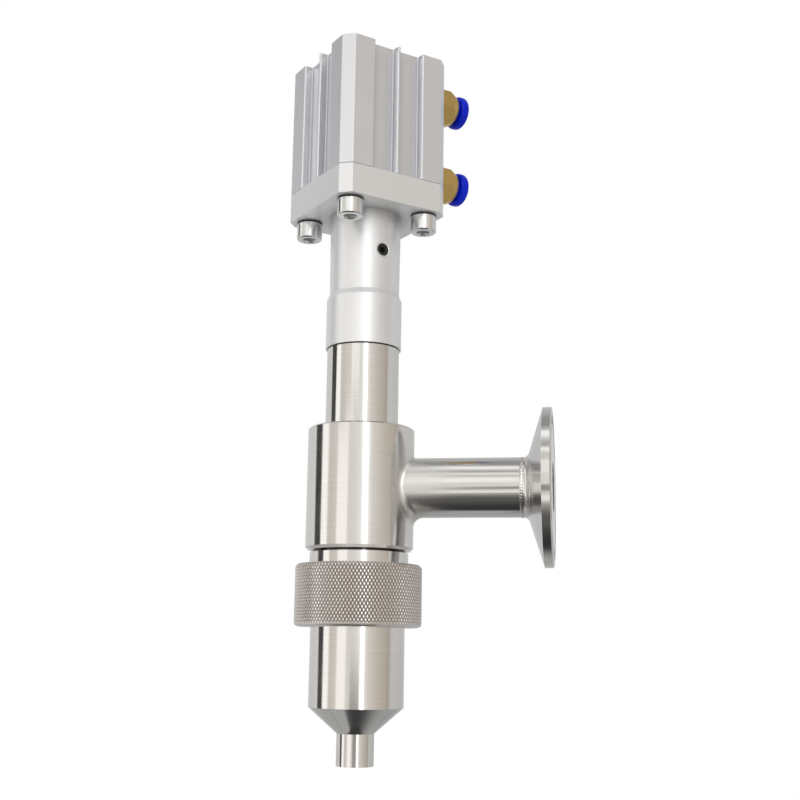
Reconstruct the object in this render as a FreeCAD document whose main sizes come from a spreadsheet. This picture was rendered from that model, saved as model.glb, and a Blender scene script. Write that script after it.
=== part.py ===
import FreeCAD, Part
import math
import os

# Anti-drip filling nozzle: a side inlet, a stem valve that shuts at the mouth of the tip,
# and a square air cylinder on top that lifts the valve.
#
# Frame: millimetres, origin at the centre of the outlet mouth, +Z up along the nozzle's axis,
# +X along the inlet pipe towards its clamp ferrule. The valve is shown shut.

PARTS_FOLDER = "parts"
FULL_TURN = 360.0
SQUARE_SIDES = 4
HEXAGON_SIDES = 6
COLLET_SLITS = 6
STEM_SEALS = 2
SAME_PLACE = 1e-3
X_DIRECTION = FreeCAD.Vector(1, 0, 0)
Y_DIRECTION = FreeCAD.Vector(0, 1, 0)
Z_DIRECTION = FreeCAD.Vector(0, 0, 1)

doc = FreeCAD.newDocument("filling_nozzle")
sheet = doc.addObject("Spreadsheet::Sheet", "sizes")


class Size:
    """A length that carries its number and the sheet expression that gives it."""

    def __init__(self, number, text):
        self.number = float(number)
        self.text = text

    def __add__(self, other):
        return Size(self.number + number_of(other), f"({self.text} + {text_of(other)})")

    def __sub__(self, other):
        return Size(self.number - number_of(other), f"({self.text} - {text_of(other)})")

    def __mul__(self, other):
        return Size(self.number * number_of(other), f"({self.text} * {text_of(other)})")

    def __truediv__(self, other):
        return Size(self.number / number_of(other), f"({self.text} / {text_of(other)})")

    def __neg__(self):
        return Size(-self.number, f"(0 - {self.text})")

    def root(self):
        return Size(math.sqrt(self.number), f"sqrt({self.text})")


def number_of(value):
    return value.number if isinstance(value, Size) else float(value)


def text_of(value):
    return value.text if isinstance(value, Size) else repr(float(value))


ZERO = Size(0.0, "0")

# Driving dimensions: lengths in millimetres, but every turn and clip_opening in degrees
GIVEN = {
    # Fits between mating pieces
    "running_fit": 0.05,
    "turning_fit": 0.06,
    "thread_fit": 0.05,
    "seal_gap": 0.02,
    "loose_gap": 0.3,

    # Nozzle head
    "mouth_radius": 4.5,
    "tip_radius": 5.85,
    "tip_length": 9.7,
    "cone_height": 7.8,
    "cone_wall": 1.6,
    "head_radius": 14.85,
    "head_bore_radius": 11.5,
    "head_barrel_length": 28.45,
    "head_collar_radius": 16.3,
    "head_collar_thickness": 4.05,

    # Union nut and its gasket
    "nut_radius": 20.1,
    "nut_height": 19.4,
    "nut_lip_thickness": 4.0,
    "nut_top_chamfer": 0.8,
    "nut_foot_round": 1.2,
    "gasket_thickness": 1.5,
    "gasket_width": 3.8,

    # Tee and its branch pipe
    "thread_radius": 16.6,
    "thread_length": 9.6,
    "relief_radius": 15.7,
    "relief_length": 4.7,
    "tee_groove_width": 0.8,
    "tee_groove_depth": 1.0,
    "tee_radius": 17.2,
    "tee_length": 39.2,
    "tee_chamfer": 0.9,
    "tee_bore_radius": 12.0,
    "tee_roof": 10.5,
    "inlet_height": 20.1,
    "inlet_reach": 61.7,
    "pipe_radius": 9.525,
    "pipe_bore_radius": 8.0,
    "blend_above": 1.2,
    "blend_below": 3.2,

    # Clamp ferrule
    "ferrule_length": 9.6,
    "ferrule_radius": 25.25,
    "rim_thickness": 2.85,
    "rim_slope_length": 5.0,
    "rim_edge_chamfer": 0.3,
    "ferrule_neck_round": 2.0,
    "clamp_groove_radius": 21.7,
    "clamp_groove_width": 4.0,
    "clamp_groove_depth": 1.4,

    # Upper tube
    "tube_radius": 11.8,
    "tube_length": 26.7,
    "tube_bore_radius": 6.3,
    "lower_spigot_radius": 10.4,
    "lower_spigot_length": 9.5,
    "upper_spigot_radius": 8.0,
    "spigot_setback": 6.1,
    "tube_groove_rise": 1.6,
    "tube_groove_width": 2.2,
    "tube_groove_depth": 1.25,

    # Stem gland
    "stem_radius": 4.0,
    "gland_radius": 7.2,
    "gland_nut_length": 4.0,
    "gland_nut_clearance": 0.4,
    "gland_slot_width": 2.0,
    "gland_slot_depth": 1.2,
    "stem_seal_length": 4.0,
    "stem_seal_valley": 2.2,
    "stem_seal_lip": 0.8,
    "gland_bush_length": 8.0,

    # Valve
    "pin_fit": 0.05,
    "pin_chamfer": 0.35,
    "pin_setback": 0.3,
    "pin_ring_rise": 1.6,
    "pin_ring_width": 1.8,
    "pin_ring_depth": 1.0,
    "seat_seal_foot": 0.7,
    "seat_seal_radius": 8.5,
    "seat_seal_height": 5.8,
    "seat_gap": 0.05,
    "lower_stud_radius": 2.5,
    "lower_stud_length": 10.6,
    "stud_tip_gap": 0.5,
    "stem_shoulder_radius": 7.0,
    "stem_shoulder_height": 2.0,
    "stem_taper_height": 6.0,
    "upper_stud_radius": 3.0,
    "upper_stud_length": 14.0,
    "lock_nut_width": 10.0,
    "lock_nut_height": 4.0,

    # Flanged adaptor
    "collar_radius": 12.4,
    "collar_length": 16.4,
    "collar_step": 1.9,
    "neck_foot_radius": 11.5,
    "neck_top_radius": 11.8,
    "neck_length": 27.1,
    "adaptor_bore_radius": 7.0,
    "flange_thickness": 10.05,
    "joint_step_height": 0.2,
    "joint_step_inset": 0.3,
    "block_side": 40.0,
    "corner_cut": 3.2,
    "block_turn": 41.0,
    "grub_radius": 2.05,
    "grub_drop": 13.7,
    "grub_recess": 0.6,
    "grub_notch_depth": 0.5,
    "grub_tip_radius": 1.2,
    "grub_socket_width": 2.0,
    "grub_socket_depth": 1.5,

    # Mounting screws and their washers
    "bolt_spacing": 28.0,
    "bolt_radius": 2.5,
    "bolt_length": 20.0,
    "bolt_head_radius": 4.25,
    "bolt_head_height": 5.4,
    "bolt_head_chamfer": 0.4,
    "bolt_socket_width": 4.0,
    "bolt_socket_depth": 2.6,
    "bolt_socket_mouth": 2.55,
    "bolt_hole_clearance": 0.25,
    "tapped_spare": 3.0,
    "corner_bore_radius": 2.1,
    "washer_thickness": 0.6,
    "washer_radius": 4.3,
    "washer_clearance": 0.1,
    "washer_slit": 0.8,

    # Air cylinder
    "cylinder_bore_radius": 12.5,
    "stroke": 15.0,
    "clip_inset": 1.1,
    "clip_thickness": 1.2,
    "clip_groove_depth": 0.55,
    "clip_band": 2.0,
    "clip_opening": 40.0,
    "clip_ear_radius": 1.8,
    "clip_ear_hole_radius": 0.75,
    "front_land_length": 4.3,
    "front_nose_length": 5.0,
    "rear_land_length": 2.7,
    "rear_nose_length": 2.9,
    "nose_clearance": 1.2,
    "cover_ring_width": 1.7,
    "cover_ring_depth": 1.2,
    "bumper_radius": 9.8,
    "bumper_band": 2.0,
    "bumper_depth": 1.0,
    "bumper_proud": 0.5,
    "stop_gap": 0.25,
    "rear_dish_radius": 6.5,
    "rear_dish_depth": 1.5,
    "lobe_width": 10.8,
    "recess_depth": 2.9,
    "rib_width": 1.1,
    "rib_shift": 1.3,
    "profile_edge_break": 0.3,
    "port_land_width": 13.0,
    "port_radius": 2.5,
    "port_depth": 4.2,
    "air_hole_radius": 1.25,
    "front_port_rise": 2.2,
    "rear_port_drop": 1.4,

    # Rod and piston
    "rod_radius": 5.0,
    "rod_reach": 6.0,
    "rod_chamfer": 0.6,
    "rod_flat_width": 8.0,
    "rod_flat_length": 4.0,
    "rod_hole_spare": 1.5,
    "rod_stud_radius": 3.0,
    "rod_seal_radius": 7.6,
    "rod_seal_length": 3.2,
    "rod_seal_inset": 1.0,
    "rod_bush_wall": 1.0,
    "rod_bush_length": 4.2,
    "piston_length": 8.6,
    "piston_fit": 0.08,
    "piston_ring_fit": 0.04,
    "piston_seal_width": 2.4,
    "piston_seal_depth": 2.2,
    "wear_ring_width": 1.8,
    "wear_ring_depth": 1.1,
    "piston_edge_land": 1.2,
    "piston_nut_width": 10.0,
    "piston_nut_height": 3.0,
    "piston_nut_room": 0.7,
    "piston_nut_sink": 0.4,

    # Push-in air fittings
    "port_washer_thickness": 0.7,
    "port_washer_band": 1.6,
    "fitting_stub_length": 3.5,
    "fitting_hex_width": 12.0,
    "fitting_hex_length": 13.6,
    "fitting_foot_chamfer": 0.5,
    "fitting_nose_radius": 5.3,
    "fitting_nose_length": 3.2,
    "fitting_wall": 1.8,
    "fitting_flow_radius": 1.3,
    "air_tube_radius": 3.0,
    "air_tube_clearance": 0.05,
    "tube_stop_depth": 2.6,
    "tube_socket_length": 4.0,
    "tube_seal_length": 1.9,
    "collet_length": 1.0,
    "collet_slit_width": 0.7,
    "release_ring_radius": 5.8,
    "release_ring_length": 3.4,
    "release_ring_round": 1.2,
    "release_ring_travel": 1.0,
    "release_ring_play": 0.1,
    "upper_hex_turn": 44.0,
    "lower_hex_turn": 47.0,
}


class GivenSizes:
    """Every driving dimension as a Size under its own name, with its row in the sheet."""

    def __init__(self, numbers):
        for row, (alias, number) in enumerate(numbers.items(), 1):
            sheet.set(f"A{row}", alias)
            sheet.set(f"B{row}", str(number))
            sheet.setAlias(f"B{row}", alias)
            setattr(self, alias, Size(number, f"sizes.{alias}"))


given = GivenSizes(GIVEN)

# Heights along the nozzle's axis, stacked from the outlet mouth upwards
cone_top = given.tip_length + given.cone_height
head_seat = cone_top + given.head_barrel_length
head_top = head_seat + given.head_collar_thickness
nut_foot = head_seat - given.nut_lip_thickness
nut_top = nut_foot + given.nut_height
spigot_foot = head_top + given.gasket_thickness
thread_top = spigot_foot + given.thread_length
tee_foot = thread_top + given.relief_length
tee_top = tee_foot + given.tee_length
inlet_axis = tee_foot + given.inlet_height
collar_foot = tee_top + given.tube_length
collar_top = collar_foot + given.collar_length
neck_foot = collar_top + given.collar_step
flange_foot = neck_foot + given.neck_length
flange_top = flange_foot + given.flange_thickness

# Heights inside the cylinder
front_land_foot = flange_top + given.clip_inset + given.clip_thickness
front_land_top = front_land_foot + given.front_land_length
front_nose_top = front_land_top + given.front_nose_length
piston_foot = front_nose_top + given.bumper_proud + given.stop_gap
piston_top = piston_foot + given.piston_length
rear_nose_foot = piston_top + given.stroke + given.stop_gap + given.bumper_proud
rear_land_foot = rear_nose_foot + given.rear_nose_length
rear_land_top = rear_land_foot + given.rear_land_length
barrel_top = rear_land_top + given.clip_thickness + given.clip_inset
front_port = front_land_top + given.front_port_rise
rear_port = rear_land_foot - given.rear_port_drop
rod_foot = flange_top - given.stroke - given.rod_reach

# Shapes shared by mating pieces
half_block = given.block_side / 2
clip_groove_radius = given.cylinder_bore_radius + given.clip_groove_depth
nose_radius = given.cylinder_bore_radius - given.nose_clearance
cone_slope = given.cone_height / (given.head_radius - given.tip_radius)
cone_wall_height = given.cone_wall * (cone_slope * cone_slope + 1).root()
tip_wall = given.tip_radius - given.mouth_radius
inner_cone_foot = given.tip_length + cone_wall_height - tip_wall * cone_slope
inner_cone_top = inner_cone_foot + (given.head_bore_radius - given.mouth_radius) * cone_slope
pin_radius = given.mouth_radius - given.pin_fit
seat_lift = given.seat_gap * (cone_slope * cone_slope + 1).root()
pin_top = inner_cone_foot + given.seat_seal_foot * cone_slope + seat_lift
seat_seal_foot_radius = given.mouth_radius + given.seat_seal_foot
seat_seal_edge = pin_top + (given.seat_seal_radius - seat_seal_foot_radius) * cone_slope
stem_foot = pin_top + given.seat_seal_height
stem_top = rod_foot - given.lock_nut_height
tube_foot = tee_top - given.lower_spigot_length
tube_top = flange_foot - given.spigot_setback
gland_seal_foot = tube_foot + given.gland_nut_length
gland_bush_foot = gland_seal_foot + given.stem_seal_length * STEM_SEALS
gland_top = gland_bush_foot + given.gland_bush_length
grub_height = flange_foot - given.grub_drop
notch_radius = given.upper_spigot_radius - given.grub_notch_depth
seam_reach = given.inlet_reach - given.ferrule_length


def turned_to(axis, degrees):
    return FreeCAD.Rotation(axis, degrees)


def plane_of(body, role):
    return [plane for plane in body.Origin.OriginFeatures if plane.Role == role][0]


def new_body(label):
    body = doc.addObject("PartDesign::Body", label)
    body.Label = label
    return body


def new_sketch(body, name, role="XZ_Plane", height=None):
    """A sketch on one of the body's own planes, lifted along the plane's normal by height."""
    sketch = body.newObject("Sketcher::SketchObject", name)
    sketch.AttachmentSupport = [(plane_of(body, role), "")]
    sketch.MapMode = "FlatFace"
    if height is not None:
        sketch.setExpression("AttachmentOffset.Base.z", text_of(height))
    return sketch


def tie(sketch, kind, values, size):
    """Adds one dimension to a sketch and ties it to the sheet."""
    index = sketch.addConstraint(Sketcher.Constraint(kind, *values, number_of(size)))
    if isinstance(size, Size):
        sketch.setExpression(f"Constraints[{index}]", size.text)


def draw_outline(sketch, corners):
    """Closed outline of straight lines, with both distances of every corner tied to the sheet."""
    points = [FreeCAD.Vector(number_of(x), number_of(y), 0) for x, y in corners]
    count = len(points)
    lines = [Part.LineSegment(points[i], points[(i + 1) % count]) for i in range(count)]
    first = sketch.GeometryCount
    sketch.addGeometry(lines, False)
    for i in range(count):
        following = first + (i + 1) % count
        sketch.addConstraint(Sketcher.Constraint("Coincident", first + i, 2, following, 1))
    for i, (x, y) in enumerate(corners):
        tie(sketch, "DistanceX", (-1, 1, first + i, 1), x)
        tie(sketch, "DistanceY", (-1, 1, first + i, 1), y)


def draw_circle(sketch, x, y, radius):
    centre = FreeCAD.Vector(number_of(x), number_of(y), 0)
    index = sketch.addGeometry(Part.Circle(centre, Z_DIRECTION, number_of(radius)), False)
    tie(sketch, "DistanceX", (-1, 1, index, 3), x)
    tie(sketch, "DistanceY", (-1, 1, index, 3), y)
    tie(sketch, "Radius", (index,), radius)


def revolve(body, name, corners, kind="PartDesign::Revolution", axis="V_Axis"):
    """Turns an outline about an axis of its sketch, as added or as cut material."""
    sketch = new_sketch(body, name + "_profile")
    draw_outline(sketch, corners)
    feature = body.newObject(kind, name)
    feature.Profile = sketch
    feature.ReferenceAxis = (sketch, [axis])
    feature.Angle = FULL_TURN
    doc.recompute()
    return feature


def cut_round(body, name, corners, axis="V_Axis"):
    """A groove turned out of the body, which has to take material away."""
    before = body.Shape.Volume
    feature = revolve(body, name, corners, "PartDesign::Groove", axis)
    must_shrink(body, before, name)
    return feature


def must_shrink(body, before, name):
    if body.Shape.Volume >= before:
        raise RuntimeError(name + " cuts nothing")


def pocket(body, name, sketch, length, backwards=False):
    """A pocket of a stated length, which has to take material away."""
    before = body.Shape.Volume
    feature = body.newObject("PartDesign::Pocket", name)
    feature.Profile = sketch
    feature.Type = 0
    feature.setExpression("Length", text_of(length))
    feature.Reversed = backwards
    doc.recompute()
    must_shrink(body, before, name)
    return feature


def pad(body, name, sketch, length):
    feature = body.newObject("PartDesign::Pad", name)
    feature.Profile = sketch
    feature.setExpression("Length", text_of(length))
    doc.recompute()
    return feature


def repeat_round(body, name, feature, count):
    """Repeats a feature round the body's Z axis."""
    pattern = body.newObject("PartDesign::PolarPattern", name)
    pattern.Originals = [feature]
    pattern.Axis = (plane_of(body, "Z_Axis"), [""])
    pattern.Angle = FULL_TURN
    pattern.Occurrences = count
    body.Tip = pattern
    doc.recompute()
    return pattern


def edges_at(shape, radius, height):
    """Names of the full circles of one radius at one height."""
    names = []
    for index, edge in enumerate(shape.Edges, 1):
        curve = edge.Curve
        if isinstance(curve, Part.Circle):
            same_radius = abs(curve.Radius - number_of(radius)) < SAME_PLACE
            same_height = abs(curve.Center.z - number_of(height)) < SAME_PLACE
            if same_radius and same_height:
                names.append(f"Edge{index}")
    return names


def dress_edge(body, kind, name, radius, height, size):
    """A fillet or chamfer on the circle of one radius at one height."""
    base = body.Tip
    feature = body.newObject("PartDesign::" + kind, name)
    feature.Base = (base, edges_at(base.Shape, radius, height))
    feature.setExpression("Radius" if kind == "Fillet" else "Size", text_of(size))
    doc.recompute()
    return feature


def turned(label, corners, axis="V_Axis"):
    """A turned piece: one outline of (radius, height) corners spun about the axis."""
    body = new_body(label)
    revolve(body, "turning", corners, axis=axis)
    return body


def band(inner, outer, foot, top):
    """Rectangular section of a plain ring."""
    return [(inner, foot), (outer, foot), (outer, top), (inner, top)]


def squeezed_ring(inner, outer, foot, top):
    """Section of an O-ring squeezed into its groove: a rectangle with its corners cut.

    Each cut is a quarter of the ring's height.
    """
    cut = (top - foot) / 4
    return [(inner, foot + cut), (inner + cut, foot), (outer - cut, foot), (outer, foot + cut),
            (outer, top - cut), (outer - cut, top), (inner + cut, top), (inner, top - cut)]


def lip_seal(inner, outer, foot, height):
    """Section of a lip seal whose two lips open downwards, towards the pressure."""
    valley = given.stem_seal_valley
    lip = given.stem_seal_lip
    middle = (inner + outer) / 2
    return [(inner, foot), (inner + lip, foot), (middle, foot + valley), (outer - lip, foot),
            (outer, foot), (outer, foot + height), (inner, foot + height)]


def hexagon(width):
    """Corners of a hexagon, from its width across the flats."""
    step = 2 * math.pi / HEXAGON_SIDES
    reach = width / (2 * math.cos(step / 2))
    return [(reach * math.cos(i * step), reach * math.sin(i * step)) for i in range(HEXAGON_SIDES)]


def hexagon_reach(width):
    return width / (2 * math.cos(math.pi / HEXAGON_SIDES))


def stand(body, x=None, y=None, z=None, rotation=None):
    """Places a finished body, with each shift tied to the sheet."""
    if rotation is not None:
        body.Placement = FreeCAD.Placement(FreeCAD.Vector(0, 0, 0), rotation)
    for letter, value in (("x", x), ("y", y), ("z", z)):
        if value is not None:
            body.setExpression("Placement.Base." + letter, text_of(value))
    doc.recompute()
    return body


def group(label, members):
    """Separate solids of one kind, kept together as one node."""
    compound = doc.addObject("Part::Compound", label)
    compound.Label = label
    compound.Links = members
    doc.recompute()
    return compound


block_rotation = turned_to(Z_DIRECTION, given.block_turn.number)
outwards_rotation = block_rotation.multiply(turned_to(Y_DIRECTION, 90))
block_cos = math.cos(math.radians(given.block_turn.number))
block_sin = math.sin(math.radians(given.block_turn.number))


def in_block_frame(along, across):
    """World X and Y of a point given along and across the cylinder's port direction."""
    return along * block_cos - across * block_sin, along * block_sin + across * block_cos


def make_nozzle_head():
    return turned("nozzle_head", [
        (given.mouth_radius, ZERO),
        (given.tip_radius, ZERO),
        (given.tip_radius, given.tip_length),
        (given.head_radius, cone_top),
        (given.head_radius, head_seat),
        (given.head_collar_radius, head_seat),
        (given.head_collar_radius, head_top),
        (given.head_bore_radius, head_top),
        (given.head_bore_radius, inner_cone_top),
        (given.mouth_radius, inner_cone_foot),
    ])


def make_union_nut():
    lip_radius = given.head_radius + given.turning_fit
    bore_radius = given.thread_radius + given.turning_fit
    body = turned("union_nut", [
        (lip_radius, nut_foot),
        (given.nut_radius, nut_foot),
        (given.nut_radius, nut_top),
        (bore_radius, nut_top),
        (bore_radius, head_seat),
        (lip_radius, head_seat),
    ])
    dress_edge(body, "Chamfer", "top_chamfer", given.nut_radius, nut_top, given.nut_top_chamfer)
    dress_edge(body, "Fillet", "foot_round", given.nut_radius, nut_foot, given.nut_foot_round)
    return body


def make_head_gasket():
    outer = given.head_collar_radius - given.loose_gap
    return turned("head_gasket", band(outer - given.gasket_width, outer, head_top, spigot_foot))


def make_tee_body():
    blank = new_body("tee_blank")
    revolve(blank, "barrel", [
        (ZERO, spigot_foot),
        (given.thread_radius, spigot_foot),
        (given.thread_radius, thread_top),
        (given.relief_radius, thread_top),
        (given.relief_radius, tee_foot - given.tee_groove_width),
        (given.relief_radius - given.tee_groove_depth, tee_foot - given.tee_groove_width),
        (given.relief_radius - given.tee_groove_depth, tee_foot),
        (given.tee_radius - given.tee_chamfer, tee_foot),
        (given.tee_radius, tee_foot + given.tee_chamfer),
        (given.tee_radius, tee_top - given.tee_chamfer / 2),
        (given.tee_radius - given.tee_chamfer / 2, tee_top),
        (ZERO, tee_top),
    ])
    branch = new_sketch(blank, "branch_circle", "YZ_Plane")
    draw_circle(branch, ZERO, inlet_axis, given.pipe_radius)
    pad(blank, "branch", branch, seam_reach)

    blended = doc.addObject("Part::Fillet", "tee_blend")
    blended.Base = blank
    blended.Edges = junction_radii(blank.Shape)
    doc.recompute()

    passages = new_body("tee_passages")
    revolve(passages, "barrel_bore", [
        (ZERO, spigot_foot),
        (given.tee_bore_radius, spigot_foot),
        (given.tee_bore_radius, tee_top - given.tee_roof),
        (given.lower_spigot_radius + given.thread_fit, tee_top - given.tee_roof),
        (given.lower_spigot_radius + given.thread_fit, tee_top),
        (ZERO, tee_top),
    ])
    bore = new_sketch(passages, "branch_bore_circle", "YZ_Plane")
    draw_circle(bore, ZERO, inlet_axis, given.pipe_bore_radius)
    pad(passages, "branch_bore", bore, seam_reach)

    tee = doc.addObject("Part::Cut", "tee_body")
    tee.Base = blended
    tee.Tool = passages
    doc.recompute()
    return tee


def junction_radii(shape):
    """Edges where the branch leaves the barrel, with a blend that grows from top to bottom."""
    barrel = given.tee_radius.number
    branch = given.pipe_radius.number
    axis = inlet_axis.number
    growth = (given.blend_below.number - given.blend_above.number) / (2 * branch)
    chosen = []
    for index, edge in enumerate(shape.Edges, 1):
        ends = [vertex.Point for vertex in edge.Vertexes]
        middle = edge.valueAt((edge.FirstParameter + edge.LastParameter) / 2)
        points = ends + [middle]
        on_barrel = all(abs(math.hypot(p.x, p.y) - barrel) < SAME_PLACE for p in points)
        on_branch = all(abs(math.hypot(p.y, p.z - axis) - branch) < SAME_PLACE for p in points)
        if on_barrel and on_branch:
            drops = [axis + branch - p.z for p in (ends[0], ends[-1])]
            radii = [given.blend_above.number + growth * drop for drop in drops]
            chosen.append((index, radii[0], radii[1]))
    if not chosen:
        raise RuntimeError("the branch junction was not found")
    return chosen


def make_inlet_ferrule():
    rim_back = given.inlet_reach - given.rim_thickness
    groove_edge = given.clamp_groove_width / 2
    body = turned("inlet_ferrule", [
        (seam_reach, given.pipe_bore_radius),
        (given.inlet_reach, given.pipe_bore_radius),
        (given.inlet_reach, given.clamp_groove_radius - groove_edge),
        (given.inlet_reach - given.clamp_groove_depth, given.clamp_groove_radius - groove_edge / 2),
        (given.inlet_reach - given.clamp_groove_depth, given.clamp_groove_radius + groove_edge / 2),
        (given.inlet_reach, given.clamp_groove_radius + groove_edge),
        (given.inlet_reach, given.ferrule_radius - given.rim_edge_chamfer),
        (given.inlet_reach - given.rim_edge_chamfer, given.ferrule_radius),
        (rim_back, given.ferrule_radius),
        (rim_back - given.rim_slope_length, given.pipe_radius),
        (seam_reach, given.pipe_radius),
    ], axis="H_Axis")
    edge_names = []
    for index, edge in enumerate(body.Tip.Shape.Edges, 1):
        curve = edge.Curve
        if isinstance(curve, Part.Circle):
            at_neck = abs(curve.Center.x - (rim_back - given.rim_slope_length).number) < SAME_PLACE
            if at_neck:
                edge_names.append(f"Edge{index}")
    base = body.Tip
    neck = body.newObject("PartDesign::Fillet", "neck_round")
    neck.Base = (base, edge_names)
    neck.setExpression("Radius", given.ferrule_neck_round.text)
    doc.recompute()
    return stand(body, z=inlet_axis)


def make_upper_tube():
    groove_foot = tube_foot + given.tube_groove_rise
    groove_top = groove_foot + given.tube_groove_width
    groove_bottom = given.lower_spigot_radius - given.tube_groove_depth
    notch_half = given.grub_tip_radius
    return turned("upper_tube", [
        (given.gland_radius, tube_foot),
        (given.lower_spigot_radius, tube_foot),
        (given.lower_spigot_radius, groove_foot),
        (groove_bottom, groove_foot),
        (groove_bottom, groove_top),
        (given.lower_spigot_radius, groove_top),
        (given.lower_spigot_radius, tee_top),
        (given.tube_radius, tee_top),
        (given.tube_radius, collar_foot),
        (given.upper_spigot_radius, collar_foot),
        (given.upper_spigot_radius, grub_height - notch_half - given.grub_notch_depth),
        (notch_radius, grub_height - notch_half),
        (notch_radius, grub_height + notch_half),
        (given.upper_spigot_radius, grub_height + notch_half + given.grub_notch_depth),
        (given.upper_spigot_radius, tube_top),
        (given.tube_bore_radius, tube_top),
        (given.tube_bore_radius, gland_top),
        (given.gland_radius, gland_top),
    ])


def make_tube_o_ring():
    foot = tube_foot + given.tube_groove_rise
    inner = given.lower_spigot_radius - given.tube_groove_depth + given.seal_gap
    outer = given.lower_spigot_radius + given.thread_fit - given.seal_gap
    return turned("tube_o_ring", squeezed_ring(inner, outer, foot, foot + given.tube_groove_width))


def make_gland_nut():
    bore = given.stem_radius + given.gland_nut_clearance
    thread = given.gland_radius - given.thread_fit
    body = turned("gland_nut", band(bore, thread, tube_foot, gland_seal_foot))
    slot = new_sketch(body, "slot_outline", "XY_Plane", tube_foot)
    half = given.gland_slot_width / 2
    draw_outline(slot, [(-given.gland_radius, -half), (given.gland_radius, -half),
                        (given.gland_radius, half), (-given.gland_radius, half)])
    pocket(body, "spanner_slot", slot, given.gland_slot_depth, backwards=True)
    return body


def make_stem_seals():
    members = []
    inner = given.stem_radius + given.running_fit
    outer = given.gland_radius - given.seal_gap
    for i in range(STEM_SEALS):
        foot = gland_seal_foot + given.stem_seal_length * i
        section = lip_seal(inner, outer, foot, given.stem_seal_length)
        members.append(turned(f"stem_seal_{i + 1}", section))
    return group("stem_seals", members)


def make_gland_bush():
    inner = given.stem_radius + given.running_fit
    outer = given.gland_radius - given.seal_gap
    return turned("gland_bush", band(inner, outer, gland_bush_foot, gland_top))


def make_valve_stem():
    taper_foot = stem_foot + given.stem_shoulder_height
    return turned("valve_stem", [
        (ZERO, stem_foot - given.lower_stud_length),
        (given.lower_stud_radius, stem_foot - given.lower_stud_length),
        (given.lower_stud_radius, stem_foot),
        (given.stem_shoulder_radius, stem_foot),
        (given.stem_shoulder_radius, taper_foot),
        (given.stem_radius, taper_foot + given.stem_taper_height),
        (given.stem_radius, stem_top),
        (given.upper_stud_radius, stem_top),
        (given.upper_stud_radius, stem_top + given.upper_stud_length),
        (ZERO, stem_top + given.upper_stud_length),
    ])


def make_seat_seal():
    bore = given.lower_stud_radius + given.thread_fit
    return turned("seat_seal", [
        (bore, pin_top),
        (seat_seal_foot_radius, pin_top),
        (given.seat_seal_radius, seat_seal_edge),
        (given.seat_seal_radius, stem_foot),
        (bore, stem_foot),
    ])


def make_plug_pin():
    bore = given.lower_stud_radius + given.thread_fit
    bore_foot = stem_foot - given.lower_stud_length - given.stud_tip_gap
    groove_foot = given.pin_setback + given.pin_ring_rise
    groove_top = groove_foot + given.pin_ring_width
    groove_bottom = pin_radius - given.pin_ring_depth
    return turned("plug_pin", [
        (ZERO, given.pin_setback),
        (pin_radius - given.pin_chamfer, given.pin_setback),
        (pin_radius, given.pin_setback + given.pin_chamfer),
        (pin_radius, groove_foot),
        (groove_bottom, groove_foot),
        (groove_bottom, groove_top),
        (pin_radius, groove_top),
        (pin_radius, pin_top),
        (bore, pin_top),
        (bore, bore_foot),
        (ZERO, bore_foot),
    ])


def make_plug_o_ring():
    foot = given.pin_setback + given.pin_ring_rise
    inner = pin_radius - given.pin_ring_depth + given.seal_gap
    outer = given.mouth_radius - given.seal_gap
    return turned("plug_o_ring", squeezed_ring(inner, outer, foot, foot + given.pin_ring_width))


def make_hexagon_nut(label, width, height, bore, foot):
    """A plain hexagon nut with both faces chamfered at the corners."""
    body = new_body(label)
    outline = new_sketch(body, "hexagon_outline", "XY_Plane", foot)
    draw_outline(outline, hexagon(width))
    draw_circle(outline, ZERO, ZERO, bore)
    pad(body, "hexagon", outline, height)
    reach = hexagon_reach(width)
    flat = width / 2
    drop = (reach - flat) / 2
    cut_round(body, "foot_chamfer", [(flat, foot), (reach, foot), (reach, foot + drop)])
    top = foot + height
    cut_round(body, "top_chamfer", [(flat, top), (reach, top), (reach, top - drop)])
    return body


def make_stem_lock_nut():
    bore = given.upper_stud_radius + given.thread_fit
    return make_hexagon_nut("stem_lock_nut", given.lock_nut_width, given.lock_nut_height, bore, stem_top)


def make_piston_rod():
    hole = given.upper_stud_radius + given.thread_fit
    hole_top = rod_foot + given.upper_stud_length - given.lock_nut_height + given.rod_hole_spare
    stud_top = piston_top - given.piston_nut_sink
    body = turned("piston_rod", [
        (hole, rod_foot),
        (given.rod_radius - given.rod_chamfer, rod_foot),
        (given.rod_radius, rod_foot + given.rod_chamfer),
        (given.rod_radius, piston_foot),
        (given.rod_stud_radius, piston_foot),
        (given.rod_stud_radius, stud_top),
        (ZERO, stud_top),
        (ZERO, hole_top),
        (hole, hole_top),
    ])
    flat_depth = given.rod_flat_length + given.rod_chamfer
    edge = given.rod_radius + given.rod_chamfer
    for name, side in (("right", 1), ("left", -1)):
        flat = new_sketch(body, name + "_flat_outline", "XY_Plane", rod_foot)
        inner = given.rod_flat_width * side / 2
        outer = edge * side
        draw_outline(flat, [(inner, -edge), (outer, -edge), (outer, edge), (inner, edge)])
        pocket(body, name + "_spanner_flat", flat, flat_depth, backwards=True)
    return body


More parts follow.
